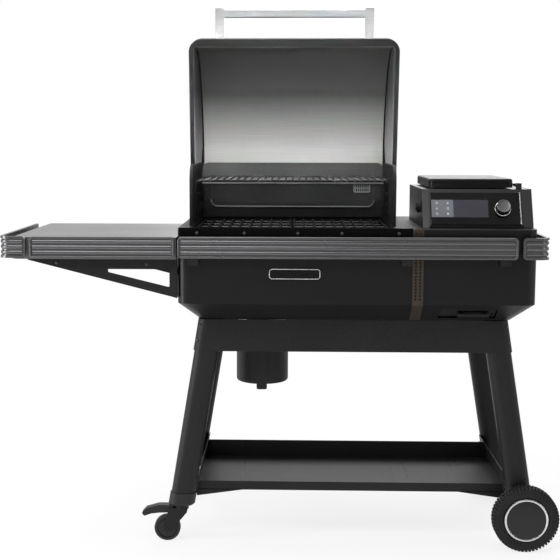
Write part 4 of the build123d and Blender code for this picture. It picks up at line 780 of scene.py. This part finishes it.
def shelf_joints():
    """Dark fillers in the two joints of the bottom shelf, and the sloping skirts out to the legs."""
    shelf_low, shelf_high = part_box("bottom_shelf")
    left_end, right_end = islands("shelf_ends")
    profile = [(p.y, p.z) for p in section_at("bottom_shelf", (shelf_low.x + shelf_high.x) / 2)]
    across = Matrix((Y_AXIS, Z_AXIS, X_AXIS)).transposed().to_4x4()
    fillers = bmesh.new()
    for start, end in ((left_end[1].x, shelf_low.x), (shelf_high.x, right_end[0].x)):
        prism(fillers, profile, Matrix.Translation((start, 0, 0)) @ across, end - start)
    add_piece("shelf_joints", "cart", "black_powder_coat", fillers, MATERIALS["gloss_panel"])
    skirts = bmesh.new()
    upright = Matrix((X_AXIS, Z_AXIS, -Y_AXIS)).transposed().to_4x4()
    place = Matrix.Translation((0, shelf_low.y + SKIRT_SHEET, 0)) @ upright
    foot = shelf_low.z
    for inner, outer in ((left_end[1].x, left_end[0].x), (right_end[0].x, right_end[1].x)):
        outline = [
            (inner, foot + SKIRT_SHEET),
            (inner, foot),
            (outer, foot - SKIRT_DROP),
            (outer, foot + SKIRT_SHEET),
        ]
        prism(skirts, outline, place, SKIRT_SHEET)
    add_piece("shelf_skirts", "cart", "black_powder_coat", skirts)


LINER_BEAD = 2.6 * MM
BEAD_OFFSET = 4.2 * MM


def liner_seams():
    """A dark bead in each corner where the liner's curved sheet meets a side wall."""
    low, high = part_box("hood_liner")
    loop = section_at("hood_liner", (low.x + high.x) / 2)
    centre = sum(loop, Vector()) / len(loop)
    inner = []
    for index, point in enumerate(loop):
        others = [q for k, q in enumerate(loop) if min(abs(k - index), len(loop) - abs(k - index)) > 3]
        opposite = min(others, key=lambda q: (q - point).length)
        if (opposite - centre).length > (point - centre).length:
            inner.append(point)
    mesh = bmesh.new()
    for x in (low.x + BEAD_OFFSET, high.x - BEAD_OFFSET):
        path = []
        for before, point, after in zip(inner, inner[1:], inner[2:]):
            along = (after - before).normalized()
            inward = along.cross(X_AXIS)
            if inward.dot(centre - point) < 0:
                inward = -inward
            moved = point + inward * BEAD_OFFSET
            path.append(Vector((x, moved.y, moved.z)))
        tube_along(mesh, path, LINER_BEAD, X_AXIS)
    add_piece("liner_seams", "hood", "black_powder_coat", mesh, MATERIALS["gloss_panel"])


VENT_FROM_RIGHT = 63.5 * MM
VENT_FROM_TOP = 76 * MM
VENT_SIZE = (50 * MM, 26 * MM)
VENT_SLATS = 7
VENT_PITCH = 6.2 * MM


def vent_grille():
    """A plated lattice over the vent cover on the rear plate: a frame, one rail and upright slats."""
    low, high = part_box("chamber_back")
    width, height = VENT_SIZE
    middle = Vector((high.x - VENT_FROM_RIGHT, 0, high.z - VENT_FROM_TOP))
    place = facing_front(middle, middle, low.y + 0.2 * MM)
    mesh = bmesh.new()
    band(
        mesh,
        rounded_outline(width, height, 5 * MM),
        rounded_outline(width - 5 * MM, height - 5 * MM, 2.6 * MM),
        place,
        1.2 * MM,
    )
    prism(mesh, rounded_outline(width - 4 * MM, 1.8 * MM, 0.4 * MM, 2), place, 1.1 * MM)
    for i in range(VENT_SLATS):
        across = Matrix.Translation(((i - VENT_SLATS // 2) * VENT_PITCH, 0, 0))
        prism(mesh, rounded_outline(1.5 * MM, height - 4 * MM, 0.4 * MM, 2), place @ across, 1.0 * MM)
    add_piece("vent_grille", "cart", "plain_steel", mesh)


PLATE_BEAD_INSET = 25 * MM
PLATE_BEAD_RISE = 31 * MM
PLATE_BEAD_CORNER = 21 * MM
PLATE_BEAD_FROM_BACK = 10.5 * MM
PLATE_BEAD_RADIUS = 2.6 * MM


def plate_bead_highlight():
    """The pressed bead along the foot of the rear plate and round its corners, made paler than the plate as a
    painted highlight on its round.
    """
    low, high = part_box("chamber_back")
    left = low.x + PLATE_BEAD_INSET
    right = high.x - PLATE_BEAD_INSET
    foot = low.z + PLATE_BEAD_RISE
    path = []
    for corner_x, first_angle in ((left + PLATE_BEAD_CORNER, 180), (right - PLATE_BEAD_CORNER, 270)):
        for step in range(10):
            angle = math.radians(first_angle + step * 10)
            x = corner_x + PLATE_BEAD_CORNER * math.cos(angle)
            z = foot + PLATE_BEAD_CORNER * (1 + math.sin(angle))
            path.append(Vector((x, high.y - PLATE_BEAD_FROM_BACK, z)))
    mesh = bmesh.new()
    tube_along(mesh, path, PLATE_BEAD_RADIUS, Y_AXIS, 16)
    # Paler grey metallic than the black plate: a painted highlight where light from above falls on the bead.
    add_piece("plate_bead_highlight", "cart", "plain_steel", mesh, MATERIALS["grey_metallic"])


# ---- Control panel ----
def on_panel(x, up, out):
    """A point on the sloping panel, measured from the foot of the knob's axis."""
    return KNOB_CENTRE + X_AXIS * x + PANEL_UP * up + PANEL_OUT * out


def panel_frame(x, up, out):
    axes = Matrix((X_AXIS, PANEL_UP, PANEL_OUT)).transposed().to_4x4()
    return Matrix.Translation(on_panel(x, up, out)) @ axes


def extent_on_panel(node):
    """The (low, high) of a node measured along the panel's right, up and outward directions."""
    points = [vertex.co - KNOB_CENTRE for vertex in NODES[node].data.vertices]
    spans = [[p.dot(axis) for p in points] for axis in (X_AXIS, PANEL_UP, PANEL_OUT)]
    return [min(s) for s in spans], [max(s) for s in spans]


TILE_SHARE = 0.385


def display_faces():
    """The pale icon block and the dark screen beside it, each a thin plate on the display."""
    low, high = extent_on_panel("display")
    width = high[0] - low[0]
    height = high[1] - low[1]
    tile_width = width * TILE_SHARE
    up = (low[1] + high[1]) / 2
    tile_x = low[0] + tile_width / 2
    tile = bmesh.new()
    tile_place = panel_frame(tile_x, up, high[2] - 0.3 * MM)
    prism(tile, rounded_outline(tile_width, height, 1.2 * MM, 4), tile_place, 1.0 * MM)
    soften_edges(add_piece("icon_tile", "cart", "display_glass", tile, ICON_TILE), 0.25 * MM)
    screen_width = width - tile_width - 1.5 * MM
    screen = bmesh.new()
    screen_place = panel_frame(high[0] - screen_width / 2, up, high[2] - 0.3 * MM)
    prism(screen, rounded_outline(screen_width, height, 1.2 * MM, 4), screen_place, 0.8 * MM)
    soften_edges(add_piece("screen_face", "cart", "display_glass", screen), 0.25 * MM)
    icons = bmesh.new()
    face = high[2] + 0.6 * MM
    for column, share_x in enumerate((-0.25, 0.25)):
        for row, share_up in enumerate((0.31, 0.0, -0.31)):
            place = panel_frame(tile_x + share_x * tile_width, up + share_up * height, face)
            draw_icon(icons, place, column * 3 + row)
    add_piece("panel_icons", "cart", "display_glass", icons, ICON_MARK)


def draw_icon(mesh, place, which):
    """One of the plain signs: a ring, a triangle, bars, a plus or a square."""
    size = 3.2 * MM
    thick = 0.4 * MM
    if which in (0, 4):
        turn_ring(mesh, [(size * 0.6, 0), (size, 0), (size, thick), (size * 0.6, thick)], place, 24)
    elif which == 1:
        prism(mesh, [(-size, -size * 0.8), (size, -size * 0.8), (0, size)], place, thick)
    elif which == 2:
        for i in (-1, 0, 1):
            bar = place @ Matrix.Translation((0, i * size * 0.75, 0))
            prism(mesh, rounded_outline(2 * size, size * 0.4, size * 0.15, 2), bar, thick)
    elif which == 3:
        prism(mesh, rounded_outline(2 * size, size * 0.5, size * 0.15, 2), place, thick)
        prism(mesh, rounded_outline(size * 0.5, 2 * size, size * 0.15, 2), place, thick * 1.1)
    else:
        prism(mesh, rounded_outline(1.7 * size, 1.7 * size, size * 0.3, 3), place, thick)


def panel_trim():
    """A bright line down the panel's right edge."""
    low, high = extent_on_panel("control_panel")
    height = high[1] - low[1]
    up = (low[1] + high[1]) / 2
    mesh = bmesh.new()
    place = panel_frame(high[0] - 1.2 * MM, up, low[2] + 4.8 * MM)
    prism(mesh, rounded_outline(2.2 * MM, height, 1.0 * MM, 4), place, 1.0 * MM)
    soften_edges(add_piece("panel_edge_trim", "cart", "plain_steel", mesh, BRIGHT_TRIM), 0.4 * MM)


def knob_dress():
    """The knob's dished face and the bright ring at its foot."""
    low, high = extent_on_panel("control_knob")
    radius = (high[0] - low[0]) / 2
    face = bmesh.new()
    place = panel_frame(0, 0, high[2])
    profile = [
        (0, -0.4 * MM),
        (radius * 0.95, -0.4 * MM),
        (radius * 0.985, 0.3 * MM),
        (radius * 0.96, 1.2 * MM),
        (radius * 0.9, 1.5 * MM),
        (radius * 0.84, 1.1 * MM),
        (radius * 0.6, 0.7 * MM),
        (0, 0.5 * MM),
    ]
    turn_profile(face, profile, place, 72)
    add_piece("knob_face", "knob", "knob_metal", face)
    panel_face = extent_on_panel("control_panel")[1][2]
    ring = bmesh.new()
    inner = radius + 0.6 * MM
    outer = radius + 2.4 * MM
    section = [
        (inner, -1.0 * MM),
        (outer, -1.0 * MM),
        (outer, 0.6 * MM),
        (inner + 0.9 * MM, 1.2 * MM),
        (inner, 0.6 * MM),
    ]
    turn_ring(ring, section, panel_frame(0, 0, panel_face), 72)
    add_piece("knob_ring", "cart", "plain_steel", ring, BRIGHT_TRIM)


# ---- Stage ----
FLOOR_SIZE = 40.0
FLOOR_FADE = (1.1, 3.2)
FLOOR_GLOW = (0.9, 1.8)


def floor():
    """A pale floor that fades into the white background with distance from the grill.

    The grill itself is lit only by the glow of the floor near it.
    """
    mesh = bpy.data.meshes.new("floor")
    half = FLOOR_SIZE / 2
    corners = [(-half, -half, 0), (half, -half, 0), (half, half, 0), (-half, half, 0)]
    mesh.from_pydata(corners, [], [(0, 1, 2, 3)])
    plane = bpy.data.objects.new("floor", mesh)
    bpy.context.scene.collection.objects.link(plane)
    finish = Finish("floor_paint", specular=0.1)
    cloud = finish.noise(1.5, 3.0)
    pale = finish.blend(finish.between(cloud, 0.0, 1.0), (0.88, 0.88, 0.88), (0.91, 0.91, 0.91))
    finish.set("Base Color", pale)
    finish.set("Roughness", 0.8)
    distance = finish.node("ShaderNodeVectorMath", operation="LENGTH")
    finish.tree.links.new(finish.place, distance.inputs[0])
    glow = finish.node("ShaderNodeEmission")
    glow.inputs["Strength"].default_value = 1.0
    mix = finish.node("ShaderNodeMixShader")
    faded = finish.between(distance.outputs["Value"], 0.8, 1.0, *FLOOR_FADE)
    rays = finish.node("ShaderNodeLightPath")
    seen = finish.sum("MULTIPLY", faded, rays.outputs["Is Camera Ray"])
    near = finish.between(distance.outputs["Value"], 0.8, 0.0, *FLOOR_GLOW)
    finish.tree.links.new(finish.sum("MAXIMUM", seen, near), mix.inputs[0])
    finish.tree.links.new(finish.shader.outputs[0], mix.inputs[1])
    finish.tree.links.new(glow.outputs[0], mix.inputs[2])
    output = finish.tree.nodes["Material Output"]
    finish.tree.links.new(mix.outputs[0], output.inputs["Surface"])
    mesh.materials.append(finish.material)


def area_light(name, place, target, size, power, spread=180):
    """A rectangular softbox; spread is the fan of its beam in degrees."""
    light = bpy.data.lights.new(name, "AREA")
    light.shape = "RECTANGLE"
    light.size, light.size_y = size
    light.energy = power
    light.spread = math.radians(spread)
    lamp = bpy.data.objects.new(name, light)
    lamp.location = place
    lamp.rotation_euler = (Vector(target) - Vector(place)).to_track_quat("-Z", "Y").to_euler()
    bpy.context.scene.collection.objects.link(lamp)


def world_light(front=0.05, back=0.85, top=0.5):
    """White to the camera; for the object, dim in front, brighter behind and overhead."""
    world = bpy.data.worlds.new("studio")
    bpy.context.scene.world = world
    world.use_nodes = True
    tree = world.node_tree
    tree.nodes.clear()

    def node(kind):
        return tree.nodes.new(kind)

    direction = node("ShaderNodeTexCoord")
    parts = node("ShaderNodeSeparateXYZ")
    tree.links.new(direction.outputs["Generated"], parts.inputs[0])
    strengths = []
    for axis, span, ends in (("Y", (-0.3, 0.9), (front, back)), ("Z", (0.25, 1.0), (0.0, top))):
        ramp = node("ShaderNodeMapRange")
        tree.links.new(parts.outputs[axis], ramp.inputs["Value"])
        for name, value in zip(("From Min", "From Max", "To Min", "To Max"), (*span, *ends)):
            ramp.inputs[name].default_value = value
        strengths.append(ramp.outputs["Result"])
    total = node("ShaderNodeMath")
    for index, strength in enumerate(strengths):
        tree.links.new(strength, total.inputs[index])
    lit = node("ShaderNodeBackground")
    tree.links.new(total.outputs[0], lit.inputs["Strength"])
    seen = node("ShaderNodeBackground")
    seen.inputs["Color"].default_value = (1, 1, 1, 1)
    lit.inputs["Color"].default_value = (1, 1, 1, 1)
    rays = node("ShaderNodeLightPath")
    mix = node("ShaderNodeMixShader")
    tree.links.new(rays.outputs["Is Camera Ray"], mix.inputs[0])
    tree.links.new(lit.outputs[0], mix.inputs[1])
    tree.links.new(seen.outputs[0], mix.inputs[2])
    output = node("ShaderNodeOutputWorld")
    tree.links.new(mix.outputs[0], output.inputs["Surface"])


CAMERA_PLACE = (0.0182, -3.5858, 1.1195)
CAMERA_TURN = (82.947, -0.083, 1.777)
CAMERA_LENS = 77.143
CAMERA_SHIFT = (0.0473, 0.0124)


def camera():
    data = bpy.data.cameras.new("camera")
    data.lens = CAMERA_LENS
    data.sensor_width = 36
    data.shift_x, data.shift_y = CAMERA_SHIFT
    view = bpy.data.objects.new("camera", data)
    view.location = CAMERA_PLACE
    view.rotation_euler = [math.radians(angle) for angle in CAMERA_TURN]
    bpy.context.scene.collection.objects.link(view)
    bpy.context.scene.camera = view


def studio():
    """Soft light from above, a tall strip either side, a weak light behind and a beam on the liner."""
    floor()
    world_light()
    area_light("key", (-1.0, -2.6, 3.6), (0, 0, 0.7), (2.4, 1.6), 70)
    area_light("left_strip", (-3.2, -1.2, 1.3), (0, 0, 0.8), (0.7, 2.4), 70)
    area_light("right_strip", (3.4, -1.6, 1.8), (0.2, 0, 0.7), (0.8, 2.4), 18)
    area_light("liner_beam", (0.0, -4.8, 1.5), (0.02, 0.4, 1.19), (0.7, 0.2), 0.8, spread=6)
    area_light("top", (0.0, 0.2, 3.8), (0, 0, 0.9), (3.0, 2.0), 60)
    area_light("back", (0.5, 3.4, 2.4), (0, 0, 0.9), (2.4, 1.6), 30)
    bpy.context.scene.view_settings.view_transform = "Standard"


finish_cad_nodes()
for wheel_side, way_out in (("front", -1), ("rear", 1)):
    treaded_tyre(wheel_side)
    hub_trim(wheel_side, way_out)
screw_heads()
display_faces()
panel_outline()
panel_trim()
knob_dress()
plate_border()
liner_seams()
shelf_joints()
vent_grille()
plate_bead_highlight()
studio()
camera()
